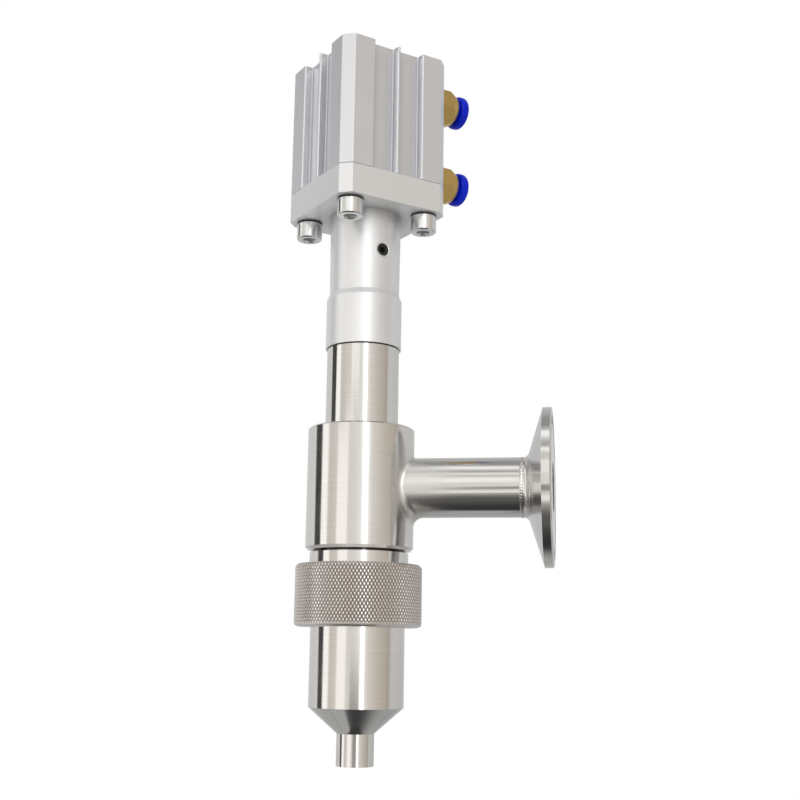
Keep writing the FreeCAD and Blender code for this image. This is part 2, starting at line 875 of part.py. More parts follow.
def make_piston():
    outer = given.cylinder_bore_radius - given.piston_fit
    seal_foot = piston_foot + given.piston_edge_land
    seal_top = seal_foot + given.piston_seal_width
    wear_top = piston_top - given.piston_edge_land
    wear_foot = wear_top - given.wear_ring_width
    well_radius = hexagon_reach(given.piston_nut_width) + given.piston_nut_room
    well_foot = piston_top - given.piston_nut_sink - given.piston_nut_height
    return turned("piston", [
        (given.rod_stud_radius + given.thread_fit, piston_foot),
        (outer, piston_foot),
        (outer, seal_foot),
        (outer - given.piston_seal_depth, seal_foot),
        (outer - given.piston_seal_depth, seal_top),
        (outer, seal_top),
        (outer, wear_foot),
        (outer - given.wear_ring_depth, wear_foot),
        (outer - given.wear_ring_depth, wear_top),
        (outer, wear_top),
        (outer, piston_top),
        (well_radius, piston_top),
        (well_radius, well_foot),
        (given.rod_stud_radius + given.thread_fit, well_foot),
    ])


def make_piston_seal():
    foot = piston_foot + given.piston_edge_land
    inner = given.cylinder_bore_radius - given.piston_fit - given.piston_seal_depth + given.seal_gap
    outer = given.cylinder_bore_radius - given.piston_ring_fit
    return turned("piston_seal", squeezed_ring(inner, outer, foot, foot + given.piston_seal_width))


def make_wear_ring():
    top = piston_top - given.piston_edge_land
    inner = given.cylinder_bore_radius - given.piston_fit - given.wear_ring_depth + given.seal_gap
    outer = given.cylinder_bore_radius - given.piston_ring_fit
    return turned("wear_ring", band(inner, outer, top - given.wear_ring_width, top))


def make_piston_nut():
    foot = piston_top - given.piston_nut_sink - given.piston_nut_height
    bore = given.rod_stud_radius + given.thread_fit
    return make_hexagon_nut("piston_nut", given.piston_nut_width, given.piston_nut_height, bore, foot)


def block_outline(inset=ZERO):
    """Square of the cylinder and the flange with its four corners cut."""
    reach = half_block - inset
    flat_end = half_block - given.corner_cut - inset * math.tan(math.pi / (2 * SQUARE_SIDES))
    corners = []
    for side in range(SQUARE_SIDES):
        corners.append(quarter_turned(reach, -flat_end, side))
        corners.append(quarter_turned(reach, flat_end, side))
    return corners


def quarter_turned(outwards, sideways, quarter):
    """A point on side number quarter of the square, from its distance out and along."""
    return [
        (outwards, sideways),
        (-sideways, outwards),
        (-outwards, -sideways),
        (sideways, -outwards),
    ][quarter]


def make_flanged_adaptor():
    spigot_bore = given.upper_spigot_radius + given.thread_fit
    pocket_top = tube_top + given.loose_gap
    body = turned("flanged_adaptor", [
        (spigot_bore, collar_foot),
        (given.collar_radius, collar_foot),
        (given.collar_radius, collar_top),
        (given.neck_foot_radius, neck_foot),
        (given.neck_top_radius, flange_foot),
        (given.adaptor_bore_radius, flange_foot),
        (given.adaptor_bore_radius, pocket_top),
        (spigot_bore, pocket_top),
    ])
    flange = new_sketch(body, "flange_outline", "XY_Plane", flange_foot)
    draw_outline(flange, block_outline())
    pad(body, "flange", flange, given.flange_thickness - given.joint_step_height)
    step = new_sketch(body, "joint_step_outline", "XY_Plane", flange_top - given.joint_step_height)
    draw_outline(step, block_outline(given.joint_step_inset))
    pad(body, "joint_step", step, given.joint_step_height)
    cut_round(body, "rod_bore", band(ZERO, given.adaptor_bore_radius, flange_foot, flange_top))
    hole = new_sketch(body, "screw_hole_circle", "XY_Plane", flange_foot)
    half_spacing = given.bolt_spacing / 2
    draw_circle(hole, half_spacing, half_spacing, given.bolt_radius + given.bolt_hole_clearance)
    drilled = pocket(body, "screw_hole", hole, given.flange_thickness, backwards=True)
    repeat_round(body, "screw_holes", drilled, SQUARE_SIDES)
    grub = new_sketch(body, "set_screw_circle", "XZ_Plane")
    draw_circle(grub, ZERO, grub_height, given.grub_radius + given.thread_fit)
    pocket(body, "set_screw_hole", grub, given.collar_radius, backwards=True)
    return stand(body, rotation=block_rotation)


def make_set_screw():
    mouth = (given.neck_top_radius + given.neck_foot_radius) / 2
    length = mouth - given.grub_recess - notch_radius
    body = turned("set_screw", [
        (ZERO, ZERO),
        (given.grub_tip_radius, ZERO),
        (given.grub_radius, given.grub_radius - given.grub_tip_radius),
        (given.grub_radius, length),
        (ZERO, length),
    ])
    socket = new_sketch(body, "socket_outline", "XY_Plane", length)
    draw_outline(socket, hexagon(given.grub_socket_width))
    pocket(body, "socket", socket, given.grub_socket_depth)
    x, y = in_block_frame(ZERO, -(notch_radius + given.running_fit))
    facing = block_rotation.multiply(turned_to(X_DIRECTION, 90))
    return stand(body, x, y, grub_height, facing)


def four_corners():
    """World places of the four screws, and the turn of each."""
    places = []
    for quarter in range(SQUARE_SIDES):
        along, across = quarter_turned(given.bolt_spacing / 2, given.bolt_spacing / 2, quarter)
        places.append(in_block_frame(along, across))
    return places


def make_mounting_screws():
    members = []
    head_top_height = -given.washer_thickness
    head_foot_height = head_top_height - given.bolt_head_height
    for i, (x, y) in enumerate(four_corners(), 1):
        body = turned(f"mounting_screw_{i}", [
            (ZERO, head_foot_height),
            (given.bolt_head_radius - given.bolt_head_chamfer, head_foot_height),
            (given.bolt_head_radius, head_foot_height + given.bolt_head_chamfer),
            (given.bolt_head_radius, head_top_height),
            (given.bolt_radius, head_top_height),
            (given.bolt_radius, head_top_height + given.bolt_length),
            (ZERO, head_top_height + given.bolt_length),
        ])
        socket = new_sketch(body, "socket_outline", "XY_Plane", head_foot_height)
        draw_outline(socket, hexagon(given.bolt_socket_width))
        pocket(body, "socket", socket, given.bolt_socket_depth, backwards=True)
        cut_round(body, "socket_mouth", [
            (ZERO, head_foot_height),
            (given.bolt_socket_mouth, head_foot_height),
            (ZERO, head_foot_height + given.bolt_socket_mouth),
        ])
        members.append(stand(body, x, y, flange_foot, block_rotation))
    return group("mounting_screws", members)


def make_spring_washers():
    members = []
    hole = given.bolt_radius + given.washer_clearance
    outer = given.washer_radius
    half = given.washer_slit / 2
    for i, (x, y) in enumerate(four_corners(), 1):
        body = turned(f"spring_washer_{i}", band(hole, outer, -given.washer_thickness, ZERO))
        slit = new_sketch(body, "slit_outline", "XY_Plane", -given.washer_thickness)
        draw_outline(slit, [(ZERO, -half), (outer, -half), (outer, half), (ZERO, half)])
        pocket(body, "slit", slit, given.washer_thickness, backwards=True)
        members.append(stand(body, x, y, flange_foot, block_rotation))
    return group("spring_washers", members)


def extrusion_outline():
    """Section of the cylinder: on each side two corner lobes, a recess and a middle rib.

    The port side carries a wide land instead of the rib, and the rib of the side opposite
    the ports stands off centre. Every edge and inner corner of the grooves is broken at 45 degrees.
    """
    cut = given.profile_edge_break
    rib = (given.rib_width, ZERO)
    ribs = [(given.port_land_width, ZERO), rib, (given.rib_width, given.rib_shift), rib]
    flat_end = half_block - given.corner_cut
    lobe_end = half_block - given.lobe_width
    floor = half_block - given.recess_depth
    corners = []
    for side, (width, shift) in enumerate(ribs):
        half = width / 2
        for outwards, sideways in (
            (half_block, -flat_end),
            (half_block, -lobe_end - cut),
            (half_block - cut, -lobe_end),
            (floor + cut, -lobe_end),
            (floor, -lobe_end + cut),
            (floor, shift - half - cut),
            (floor + cut, shift - half),
            (half_block - cut, shift - half),
            (half_block, shift - half + cut),
            (half_block, shift + half - cut),
            (half_block - cut, shift + half),
            (floor + cut, shift + half),
            (floor, shift + half + cut),
            (floor, lobe_end - cut),
            (floor + cut, lobe_end),
            (half_block - cut, lobe_end),
            (half_block, lobe_end + cut),
            (half_block, flat_end),
        ):
            corners.append(quarter_turned(outwards, sideways, side))
    return corners


def make_cylinder_barrel():
    body = new_body("cylinder_barrel")
    section = new_sketch(body, "extrusion_section", "XY_Plane", flange_top)
    draw_outline(section, extrusion_outline())
    draw_circle(section, ZERO, ZERO, given.cylinder_bore_radius)
    pad(body, "extrusion", section, barrel_top - flange_top)

    half_spacing = given.bolt_spacing / 2
    corner = new_sketch(body, "corner_bore_circle", "XY_Plane", flange_top)
    draw_circle(corner, half_spacing, half_spacing, given.corner_bore_radius)
    through = pocket(body, "corner_bore", corner, barrel_top - flange_top, backwards=True)
    repeat_round(body, "corner_bores", through, SQUARE_SIDES)
    bolt_reach = given.bolt_length - given.washer_thickness - given.flange_thickness
    tapped_depth = bolt_reach + given.tapped_spare
    for name, height, upwards in (("front", flange_top, True), ("rear", barrel_top, False)):
        circle = new_sketch(body, name + "_thread_circle", "XY_Plane", height)
        draw_circle(circle, half_spacing, half_spacing, given.bolt_radius + given.thread_fit)
        tapped = pocket(body, name + "_thread", circle, tapped_depth, backwards=upwards)
        repeat_round(body, name + "_threads", tapped, SQUARE_SIDES)

    for name, foot in (("front", flange_top + given.clip_inset), ("rear", rear_land_top)):
        groove = band(given.cylinder_bore_radius - given.clip_groove_depth, clip_groove_radius,
                      foot, foot + given.clip_thickness)
        cut_round(body, name + "_clip_groove", groove)

    for name, height in (("front", front_port), ("rear", rear_port)):
        circle = new_sketch(body, name + "_air_hole_circle", "YZ_Plane")
        draw_circle(circle, ZERO, height, given.air_hole_radius)
        pocket(body, name + "_air_hole", circle, half_block, backwards=True)
        circle = new_sketch(body, name + "_port_circle", "YZ_Plane", half_block)
        draw_circle(circle, ZERO, height, given.port_radius + given.thread_fit)
        pocket(body, name + "_port", circle, given.port_depth)
    return stand(body, rotation=block_rotation)


def make_cover(label, land_foot, land_length, nose_length, upwards, bore, extra_cuts):
    """A cylinder end cover: a sealed land in the bore, a slimmer nose and a bumper seat."""
    outer = given.cylinder_bore_radius - given.running_fit
    land_top = land_foot + land_length
    ring_foot = land_foot + (land_length - given.cover_ring_width) / 2
    ring_top = ring_foot + given.cover_ring_width
    ring_bottom = outer - given.cover_ring_depth
    if upwards:
        nose_end = land_top + nose_length
        seat_floor = nose_end - given.bumper_depth
    else:
        nose_end = land_foot - nose_length
        seat_floor = nose_end + given.bumper_depth
    bumper_inner = given.bumper_radius - given.bumper_band
    land = [
        (outer, land_foot), (outer, ring_foot), (ring_bottom, ring_foot),
        (ring_bottom, ring_top), (outer, ring_top), (outer, land_top),
    ]
    nose = [
        (nose_radius, nose_end), (given.bumper_radius, nose_end), (given.bumper_radius, seat_floor),
        (bumper_inner, seat_floor), (bumper_inner, nose_end), (bore, nose_end),
    ]
    if upwards:
        corners = [(bore, land_foot)] + land + [(nose_radius, land_top)] + nose
    else:
        corners = [(bore, land_top)] + land[::-1] + [(nose_radius, land_foot)] + nose
    body = turned(label, corners)
    for name, section in extra_cuts:
        cut_round(body, name, section)
    return body


def make_front_cover():
    bore = given.rod_radius + given.running_fit
    seal_foot = front_land_foot + given.rod_seal_inset
    bush_foot = seal_foot + given.rod_seal_length
    bush_radius = bore + given.rod_bush_wall
    bush_top = bush_foot + given.rod_bush_length
    cuts = [
        ("rod_seal_groove", band(given.rod_radius, given.rod_seal_radius, seal_foot, bush_foot)),
        ("rod_bush_seat", band(given.rod_radius, bush_radius, bush_foot, bush_top)),
    ]
    return make_cover("front_cover", front_land_foot, given.front_land_length, given.front_nose_length,
                      True, bore, cuts)


def make_rear_cover():
    dish_foot = rear_land_top - given.rear_dish_depth
    cuts = [("dish", band(ZERO, given.rear_dish_radius, dish_foot, rear_land_top))]
    return make_cover("rear_cover", rear_land_foot, given.rear_land_length, given.rear_nose_length,
                      False, ZERO, cuts)


def make_cover_ring(label, land_foot, land_length):
    foot = land_foot + (land_length - given.cover_ring_width) / 2
    inner = given.cylinder_bore_radius - given.running_fit - given.cover_ring_depth + given.seal_gap
    outer = given.cylinder_bore_radius - given.seal_gap
    return turned(label, squeezed_ring(inner, outer, foot, foot + given.cover_ring_width))


def make_bumper(label, foot):
    thickness = given.bumper_depth + given.bumper_proud
    inner = given.bumper_radius - given.bumper_band + given.seal_gap
    outer = given.bumper_radius - given.seal_gap
    return turned(label, squeezed_ring(inner, outer, foot, foot + thickness))


def make_rod_seal():
    foot = front_land_foot + given.rod_seal_inset
    section = squeezed_ring(given.rod_radius + given.running_fit, given.rod_seal_radius - given.seal_gap,
                            foot, foot + given.rod_seal_length)
    return turned("rod_seal", section)


def make_rod_bush():
    foot = front_land_foot + given.rod_seal_inset + given.rod_seal_length
    inner = given.rod_radius + given.running_fit
    outer = inner + given.rod_bush_wall - given.seal_gap
    return turned("rod_bush", band(inner, outer, foot, foot + given.rod_bush_length))


def plain_cylinder(name, radius, height, x, y, z, angle=FULL_TURN):
    cylinder = doc.addObject("Part::Cylinder", name)
    cylinder.setExpression("Radius", text_of(radius))
    cylinder.setExpression("Height", text_of(height))
    cylinder.Angle = angle
    return stand(cylinder, x, y, z)


def make_circlip(label, foot):
    """An open spring ring with two ears that have holes for pliers."""
    opening = given.clip_opening.number
    outer = clip_groove_radius - given.seal_gap
    inner = given.cylinder_bore_radius - given.clip_band
    disc = plain_cylinder(label + "_disc", outer, given.clip_thickness, None, None, foot,
                          FULL_TURN - opening)
    inside = plain_cylinder(label + "_inside", inner, given.clip_thickness, None, None, foot)
    arc = doc.addObject("Part::Cut", label + "_arc")
    arc.Base = disc
    arc.Tool = inside
    ear_reach = given.cylinder_bore_radius - given.clip_ear_radius - given.loose_gap
    ears = []
    holes = []
    ear_turn = math.degrees(given.clip_ear_radius.number / ear_reach.number)
    for side, degrees in (("start", ear_turn), ("finish", FULL_TURN - opening - ear_turn)):
        x = ear_reach * math.cos(math.radians(degrees))
        y = ear_reach * math.sin(math.radians(degrees))
        name = f"{label}_{side}"
        for members, part, radius in ((ears, "_ear", given.clip_ear_radius),
                                      (holes, "_hole", given.clip_ear_hole_radius)):
            members.append(plain_cylinder(name + part, radius, given.clip_thickness, x, y, foot))
    eared = doc.addObject("Part::MultiFuse", label + "_eared")
    eared.Shapes = [arc] + ears
    punched = doc.addObject("Part::MultiFuse", label + "_punch")
    punched.Shapes = holes
    clip = doc.addObject("Part::Cut", label)
    clip.Base = eared
    clip.Tool = punched
    doc.recompute()
    return clip


# Lengths along an air fitting, from the face of the port land outwards
hex_foot = given.port_washer_thickness
hex_end = hex_foot + given.fitting_hex_length
socket_foot = given.tube_stop_depth
tube_seal_foot = socket_foot + given.tube_socket_length
collet_foot = tube_seal_foot + given.tube_seal_length
collet_end = collet_foot + given.collet_length
chamber_radius = given.fitting_hex_width / 2 - given.fitting_wall
tube_way = given.air_tube_radius + given.air_tube_clearance
sleeve_foot = collet_end + given.release_ring_travel + given.release_ring_play
ring_back = hex_end + given.release_ring_travel + given.release_ring_play
ring_end = ring_back + given.release_ring_length


def on_port(body, height, turn=ZERO):
    """Stands a fitting piece, drawn with its axis upwards, on the port land at a height."""
    x, y = in_block_frame(half_block, ZERO)
    rotation = outwards_rotation.multiply(turned_to(Z_DIRECTION, turn.number))
    return stand(body, x, y, height, rotation)


def make_fitting_body(label, height, turn):
    body = new_body(label)
    outline = new_sketch(body, "hexagon_outline", "XY_Plane", hex_foot)
    draw_outline(outline, hexagon(given.fitting_hex_width))
    pad(body, "hexagon", outline, given.fitting_hex_length)
    revolve(body, "stub", band(ZERO, given.port_radius, -given.fitting_stub_length, hex_foot))
    reach = hexagon_reach(given.fitting_hex_width)
    cut_round(body, "foot_chamfer", [
        (reach - given.fitting_foot_chamfer, hex_foot),
        (reach, hex_foot),
        (reach, hex_foot + given.fitting_foot_chamfer),
    ])
    cut_round(body, "nose_cone", [
        (given.fitting_nose_radius, hex_end),
        (reach, hex_end),
        (reach, hex_end - given.fitting_nose_length),
    ])
    cut_round(body, "tube_way", [
        (ZERO, -given.fitting_stub_length),
        (given.fitting_flow_radius, -given.fitting_stub_length),
        (given.fitting_flow_radius, socket_foot),
        (tube_way, socket_foot),
        (tube_way, tube_seal_foot),
        (chamber_radius, tube_seal_foot),
        (chamber_radius, hex_end),
        (ZERO, hex_end),
    ])
    return on_port(body, height, turn)


def make_release_ring(label, height):
    body = turned(label, [
        (tube_way + given.running_fit, sleeve_foot),
        (chamber_radius - given.piston_fit, sleeve_foot),
        (chamber_radius - given.piston_fit, ring_back),
        (given.release_ring_radius, ring_back),
        (given.release_ring_radius, ring_end),
        (tube_way + given.running_fit, ring_end),
    ])
    dress_edge(body, "Fillet", "rim_round", given.release_ring_radius, ring_end,
               given.release_ring_round)
    dress_edge(body, "Fillet", "back_round", given.release_ring_radius, ring_back,
               given.release_ring_round)
    return on_port(body, height)


def make_collet(label, height):
    inner = tube_way + given.seal_gap
    body = turned(label, band(inner, chamber_radius - given.running_fit, collet_foot, collet_end))
    slit = new_sketch(body, "slit_outline", "XY_Plane", collet_foot)
    half = given.collet_slit_width / 2
    slit_end = (inner + chamber_radius) / 2
    draw_outline(slit, [(ZERO, -half), (slit_end, -half), (slit_end, half), (ZERO, half)])
    first = pocket(body, "slit", slit, given.collet_length, backwards=True)
    repeat_round(body, "slits", first, COLLET_SLITS)
    return on_port(body, height)


def make_tube_seal(label, height):
    section = squeezed_ring(tube_way + given.seal_gap, chamber_radius - given.seal_gap,
                            tube_seal_foot, collet_foot)
    return on_port(turned(label, section), height)


def make_port_washers():
    members = []
    inner = given.port_radius + given.washer_clearance
    for name, height in (("lower", front_port), ("upper", rear_port)):
        body = turned(f"{name}_port_washer", band(inner, inner + given.port_washer_band, ZERO, hex_foot))
        members.append(on_port(body, height))
    return group("port_washers", members)


def make_everything():
    pieces = [
        make_nozzle_head(),
        make_union_nut(),
        make_head_gasket(),
        make_tee_body(),
        make_inlet_ferrule(),
        make_upper_tube(),
        make_tube_o_ring(),
        make_gland_nut(),
        make_stem_seals(),
        make_gland_bush(),
        make_valve_stem(),
        make_seat_seal(),
        make_plug_pin(),
        make_plug_o_ring(),
        make_stem_lock_nut(),
        make_piston_rod(),
        make_piston(),
        make_piston_seal(),
        make_wear_ring(),
        make_piston_nut(),
        make_flanged_adaptor(),
        make_set_screw(),
        make_mounting_screws(),
        make_spring_washers(),
        make_cylinder_barrel(),
        make_front_cover(),
        make_cover_ring("front_cover_o_ring", front_land_foot, given.front_land_length),
        make_circlip("front_circlip", flange_top + given.clip_inset),
        make_bumper("front_bumper", front_nose_top - given.bumper_depth),
        make_rod_seal(),
        make_rod_bush(),
        make_rear_cover(),
        make_cover_ring("rear_cover_o_ring", rear_land_foot, given.rear_land_length),
        make_circlip("rear_circlip", rear_land_top),
        make_bumper("rear_bumper", rear_nose_foot - given.bumper_proud),
        make_port_washers(),
    ]
    for name, height, turn in (
        ("upper", rear_port, given.upper_hex_turn),
        ("lower", front_port, given.lower_hex_turn),
    ):
        pieces.append(make_fitting_body(name + "_fitting_body", height, turn))
        pieces.append(make_release_ring(name + "_release_ring", height))
        pieces.append(make_collet(name + "_collet", height))
        pieces.append(make_tube_seal(name + "_tube_seal", height))
    return pieces


def check_document():
    """Stops the build when any object of the document has failed."""
    for item in doc.Objects:
        if "Invalid" in item.State or "Error" in item.State:
            raise RuntimeError(f"{item.Label} failed: {item.State}")


def write_parts(pieces):
    os.makedirs(PARTS_FOLDER, exist_ok=True)
    for piece in pieces:
        shape = piece.Shape
        if shape.isNull() or not shape.isValid() or not shape.Solids:
            raise RuntimeError(piece.Label + " has no valid solid")
        shape.exportStep(os.path.join(PARTS_FOLDER, piece.Label + ".step"))
        print(f"{piece.Label}: {len(shape.Solids)} solid, {shape.Volume:.1f} mm3")


doc.recompute()
all_pieces = make_everything()
doc.recompute()
check_document()
write_parts(all_pieces)
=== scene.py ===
# %% [markdown]
# # A filling nozzle, dressed for its portrait
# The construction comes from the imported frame, at its real size: every piece of the nozzle is there
# already, in metres, standing on the mouth of its tip. This lesson gives each piece its finish,
# cuts the knurl of the hand nut as a real surface, and sets up the light in which polished steel
# looks like steel.

# %% Load the frame
import math

import bpy
import numpy as np
from mathutils import Matrix, Vector


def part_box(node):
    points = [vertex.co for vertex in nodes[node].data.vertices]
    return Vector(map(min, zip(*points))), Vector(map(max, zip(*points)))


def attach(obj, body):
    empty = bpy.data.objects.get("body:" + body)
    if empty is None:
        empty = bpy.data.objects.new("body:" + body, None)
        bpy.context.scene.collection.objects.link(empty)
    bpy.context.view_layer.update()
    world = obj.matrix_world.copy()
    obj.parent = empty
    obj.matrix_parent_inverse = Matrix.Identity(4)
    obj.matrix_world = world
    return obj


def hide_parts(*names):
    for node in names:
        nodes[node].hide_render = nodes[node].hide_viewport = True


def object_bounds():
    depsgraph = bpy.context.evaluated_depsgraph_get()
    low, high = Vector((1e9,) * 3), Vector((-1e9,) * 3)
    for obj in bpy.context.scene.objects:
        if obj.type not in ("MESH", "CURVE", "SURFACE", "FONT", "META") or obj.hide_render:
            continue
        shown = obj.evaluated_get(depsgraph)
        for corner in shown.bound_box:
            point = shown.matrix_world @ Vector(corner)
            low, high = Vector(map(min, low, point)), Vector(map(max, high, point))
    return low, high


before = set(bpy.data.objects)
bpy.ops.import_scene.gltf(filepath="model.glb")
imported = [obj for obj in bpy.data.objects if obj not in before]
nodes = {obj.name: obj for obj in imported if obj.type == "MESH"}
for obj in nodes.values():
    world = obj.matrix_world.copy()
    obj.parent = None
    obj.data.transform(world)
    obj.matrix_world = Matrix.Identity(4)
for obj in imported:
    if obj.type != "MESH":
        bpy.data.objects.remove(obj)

MM = 0.001
scene = bpy.context.scene
bpy.context.view_layer.update()
cad_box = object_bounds()
upper_corner = [round(v / MM, 1) for v in cad_box[1]]
print(f"{len(nodes)} pieces in the frame, the upper corner of their box at {upper_corner} mm")

# %% [markdown]
# ## The camera
# The photograph looks up at the nozzle from low down in front, a little to the right of its axis.
# The place, heading and lens below are the ones at which the outlines of the cylinders, the
# ferrule and the block fall where the photograph has them. A constraint could aim the camera at a
# target, but it would leave the roll and the nozzle's place in the frame unset. A camera in Blender
# looks along its own -Z with +Y up, so its matrix is made of three axes: right, up and back.

# %% Camera
NOZZLE_MIDDLE = Vector((0.0, 0.0, 0.12))
CAMERA_PLACE = Vector((73.46, -377.82, 35.45)) * MM
CAMERA_HEADING = math.radians(-9.166)
CAMERA_PITCH = math.radians(11.712)
CAMERA_ROLL = math.radians(0.823)
CAMERA_LENS = 54.04
CAMERA_SENSOR = 36.0
CAMERA_NEAR = 0.01
CAMERA_FAR = 50.0


def look(heading, pitch, roll):
    """Axes of a camera.

    The heading turns from +Y to +X, the pitch tips the view up, and the roll turns it about itself.
    """
    ahead = Vector((math.sin(heading), math.cos(heading), 0.0))
    forward = ahead * math.cos(pitch) + Vector((0.0, 0.0, math.sin(pitch)))
    level = Vector((math.cos(heading), -math.sin(heading), 0.0))
    upright = level.cross(forward)
    right = level * math.cos(roll) + upright * math.sin(roll)
    up = upright * math.cos(roll) - level * math.sin(roll)
    return Matrix((right, up, -forward)).transposed()


camera = bpy.data.objects.new("camera", bpy.data.cameras.new("camera"))
scene.collection.objects.link(camera)
camera_axes = look(CAMERA_HEADING, CAMERA_PITCH, CAMERA_ROLL)
camera.matrix_world = Matrix.Translation(CAMERA_PLACE) @ camera_axes.to_4x4()
camera.data.lens = CAMERA_LENS
camera.data.sensor_width = CAMERA_SENSOR
camera.data.clip_start = CAMERA_NEAR
camera.data.clip_end = CAMERA_FAR
scene.camera = camera
print("camera", round((CAMERA_PLACE - NOZZLE_MIDDLE).length, 3), "m from the nozzle's middle")

# %% [markdown]
# ## Surfaces from arrays
# The knurled nut, the weld, the tent and the floor are grids of points. A grid has rows and columns,
# and either can close on itself. Such a mesh could be built point by point. Whole arrays are quicker
# and shorter: each cell becomes one quad, or two triangles where it matters which way it is split.


# %% Grid helper
def grid_mesh(name, points, close_rows=False, close_columns=True, diagonals=None):
    """Mesh from an array of points (rows, columns, 3).

    Each cell joins point (r, c) to (r, c+1), (r+1, c+1) and (r+1, c). diagonals, where it is given,
    is an array of true and false per cell that says which way the cell is split into two triangles.
    """
    rows, columns = points.shape[:2]
    r = np.arange(rows if close_rows else rows - 1)[:, None]
    c = np.arange(columns if close_columns else columns - 1)[None, :]
    r_next = (r + 1) % rows
    c_next = (c + 1) % columns
    corner = [r * columns + c, r * columns + c_next, r_next * columns + c_next, r_next * columns + c]
    corner = [np.broadcast_to(k, (r.size, c.size)) for k in corner]
    if diagonals is None:
        faces = np.stack(corner, -1).reshape(-1, 4)
    else:
        rising = np.stack([corner[k] for k in (0, 1, 2, 0, 2, 3)], -1)
        falling = np.stack([corner[k] for k in (0, 1, 3, 1, 2, 3)], -1)
        faces = np.where(diagonals[..., None], rising, falling).reshape(-1, 3)
    mesh = bpy.data.meshes.new(name)
    mesh.from_pydata(points.reshape(-1, 3).tolist(), [], faces.tolist())
    mesh.update()
    piece = bpy.data.objects.new(name, mesh)
    scene.collection.objects.link(piece)
    print(f"{name}: a grid of {rows} by {columns} points, {len(mesh.polygons)} faces")
    return piece


# %% [markdown]
# ## The knurl
# A knurl is rolled into the nut by two wheels whose ridges lean opposite ways. It leaves rows of
# small pyramids, each row shifted by half a pyramid. A bump map would show the light of a knurl but
# not its broken outline, so here the grooves are real. Two families of V grooves cross, and the
# depth at a point is that of the nearer groove. The tips keep a little of the turned surface.
# Grid lines run through every tip and every crossing of grooves, which keeps the edges crisp with
# few triangles.

# %% Knurl pattern
KNURL_TEETH = 112
KNURL_ROWS = 20
KNURL_DEPTH = 0.28 * MM
KNURL_TIP = 0.42


def knurl_steps(count):
    """Places along one direction, in half pitches: each is cut beside the tip and the valley."""
    cuts = np.array([0.0, KNURL_TIP, 1.0 - KNURL_TIP])
    return (np.arange(count)[:, None] + cuts).ravel()


def knurl_height(u, v):
    """Share of the knurl's depth that is left at a place: the nearer of two families of V grooves.

    With u and v in half pitches, the grooves lie where (u + v) / 2 or (u - v) / 2 is whole. The
    distance to the nearest whole number runs from 0 in the groove to 1/2 midway, and it is cut off
    at (1 - tip) / 2, where the flat tip begins.
    """
    rising = np.abs((u + v) / 2 - np.round((u + v) / 2))
    leaning = np.abs((u - v) / 2 - np.round((u - v) / 2))
    flat = (1.0 - KNURL_TIP) / 2
    return np.minimum(np.minimum(rising, leaning), flat) / flat


print(f"knurl: {KNURL_TEETH} teeth round, {KNURL_ROWS} rows up, {KNURL_DEPTH / MM:.2f} mm deep")

# %% [markdown]
# ## The hand nut
# The nut holds the head under the tee and is turned by hand. Its section runs up the outside, over
# the top, down the thread, in over the lip, down the lip's bore and back under the foot, where it
# closes on itself. The knurl could simply be cut into the outside from end to end. On the real nut it
# runs out over the rounded foot, so its depth fades in there, and at the top the chamfer cuts it off.
# Each point keeps how deep it is sunk, for the finish to read.

# %% Outline of the nut
NUT_FOOT_ROUND = 1.2 * MM
NUT_TOP_CHAMFER = 0.8 * MM


def nut_outline(rise, radius, height):
    """Radius of the plain nut at a height over its foot.

    The foot is a quarter circle: radius - a + sqrt(a^2 - d^2), with a its size and d the way up that
    is left to its end. The chamfer takes off as much as the point lies above its start.
    """
    below_round = np.clip(NUT_FOOT_ROUND - rise, 0.0, None)
    above_chamfer = np.clip(rise - (height - NUT_TOP_CHAMFER), 0.0, None)
    rounded = radius - NUT_FOOT_ROUND + np.sqrt(NUT_FOOT_ROUND ** 2 - below_round ** 2)
    return rounded - above_chamfer


nut_low, nut_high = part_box("union_nut")
nut_radius = nut_high.x
nut_height = nut_high.z - nut_low.z
print(f"hand nut: {nut_radius / MM:.1f} mm in radius, {nut_height / MM:.1f} mm high")

# %% Knurled nut
KNURL_FADE_LOW = 0.3 * MM
KNURL_FADE_HIGH = 1.4 * MM
NUT_TOP_RING = 1.2 * MM
NUT_LIP_RADIUS = 14.91 * MM
NUT_LIP_TOP = 4.0 * MM
NUT_THREAD_RADIUS = 16.66 * MM
u = knurl_steps(2 * KNURL_TEETH)
v = np.append(knurl_steps(KNURL_ROWS), KNURL_ROWS)
rise = v / KNURL_ROWS * nut_height
fade = np.clip((rise - KNURL_FADE_LOW) / (KNURL_FADE_HIGH - KNURL_FADE_LOW), 0.0, 1.0)
sunk = fade[:, None] * (1.0 - knurl_height(u[None, :], v[:, None]))
plain = nut_outline(rise, nut_radius, nut_height)
outer = np.minimum(plain[:, None], nut_radius - KNURL_DEPTH * sunk)

inner_rise = np.array([nut_height, nut_height, NUT_LIP_TOP, NUT_LIP_TOP, 0.0])
inner = np.array([NUT_THREAD_RADIUS + NUT_TOP_RING] + 2 * [NUT_THREAD_RADIUS] + 2 * [NUT_LIP_RADIUS])
radius = np.vstack([outer, np.repeat(inner[:, None], u.size, 1)])
height = nut_low.z + np.concatenate([rise, inner_rise])
height = np.repeat(height[:, None], u.size, 1)
angle = u / (2 * KNURL_TEETH) * 2.0 * np.pi
points = np.stack([radius * np.sin(angle), -radius * np.cos(angle), height], -1)
row_cell = np.floor(np.append(v, np.full(inner.size, KNURL_ROWS)))
half_cell = np.floor(u)[None, :] + row_cell[:, None]

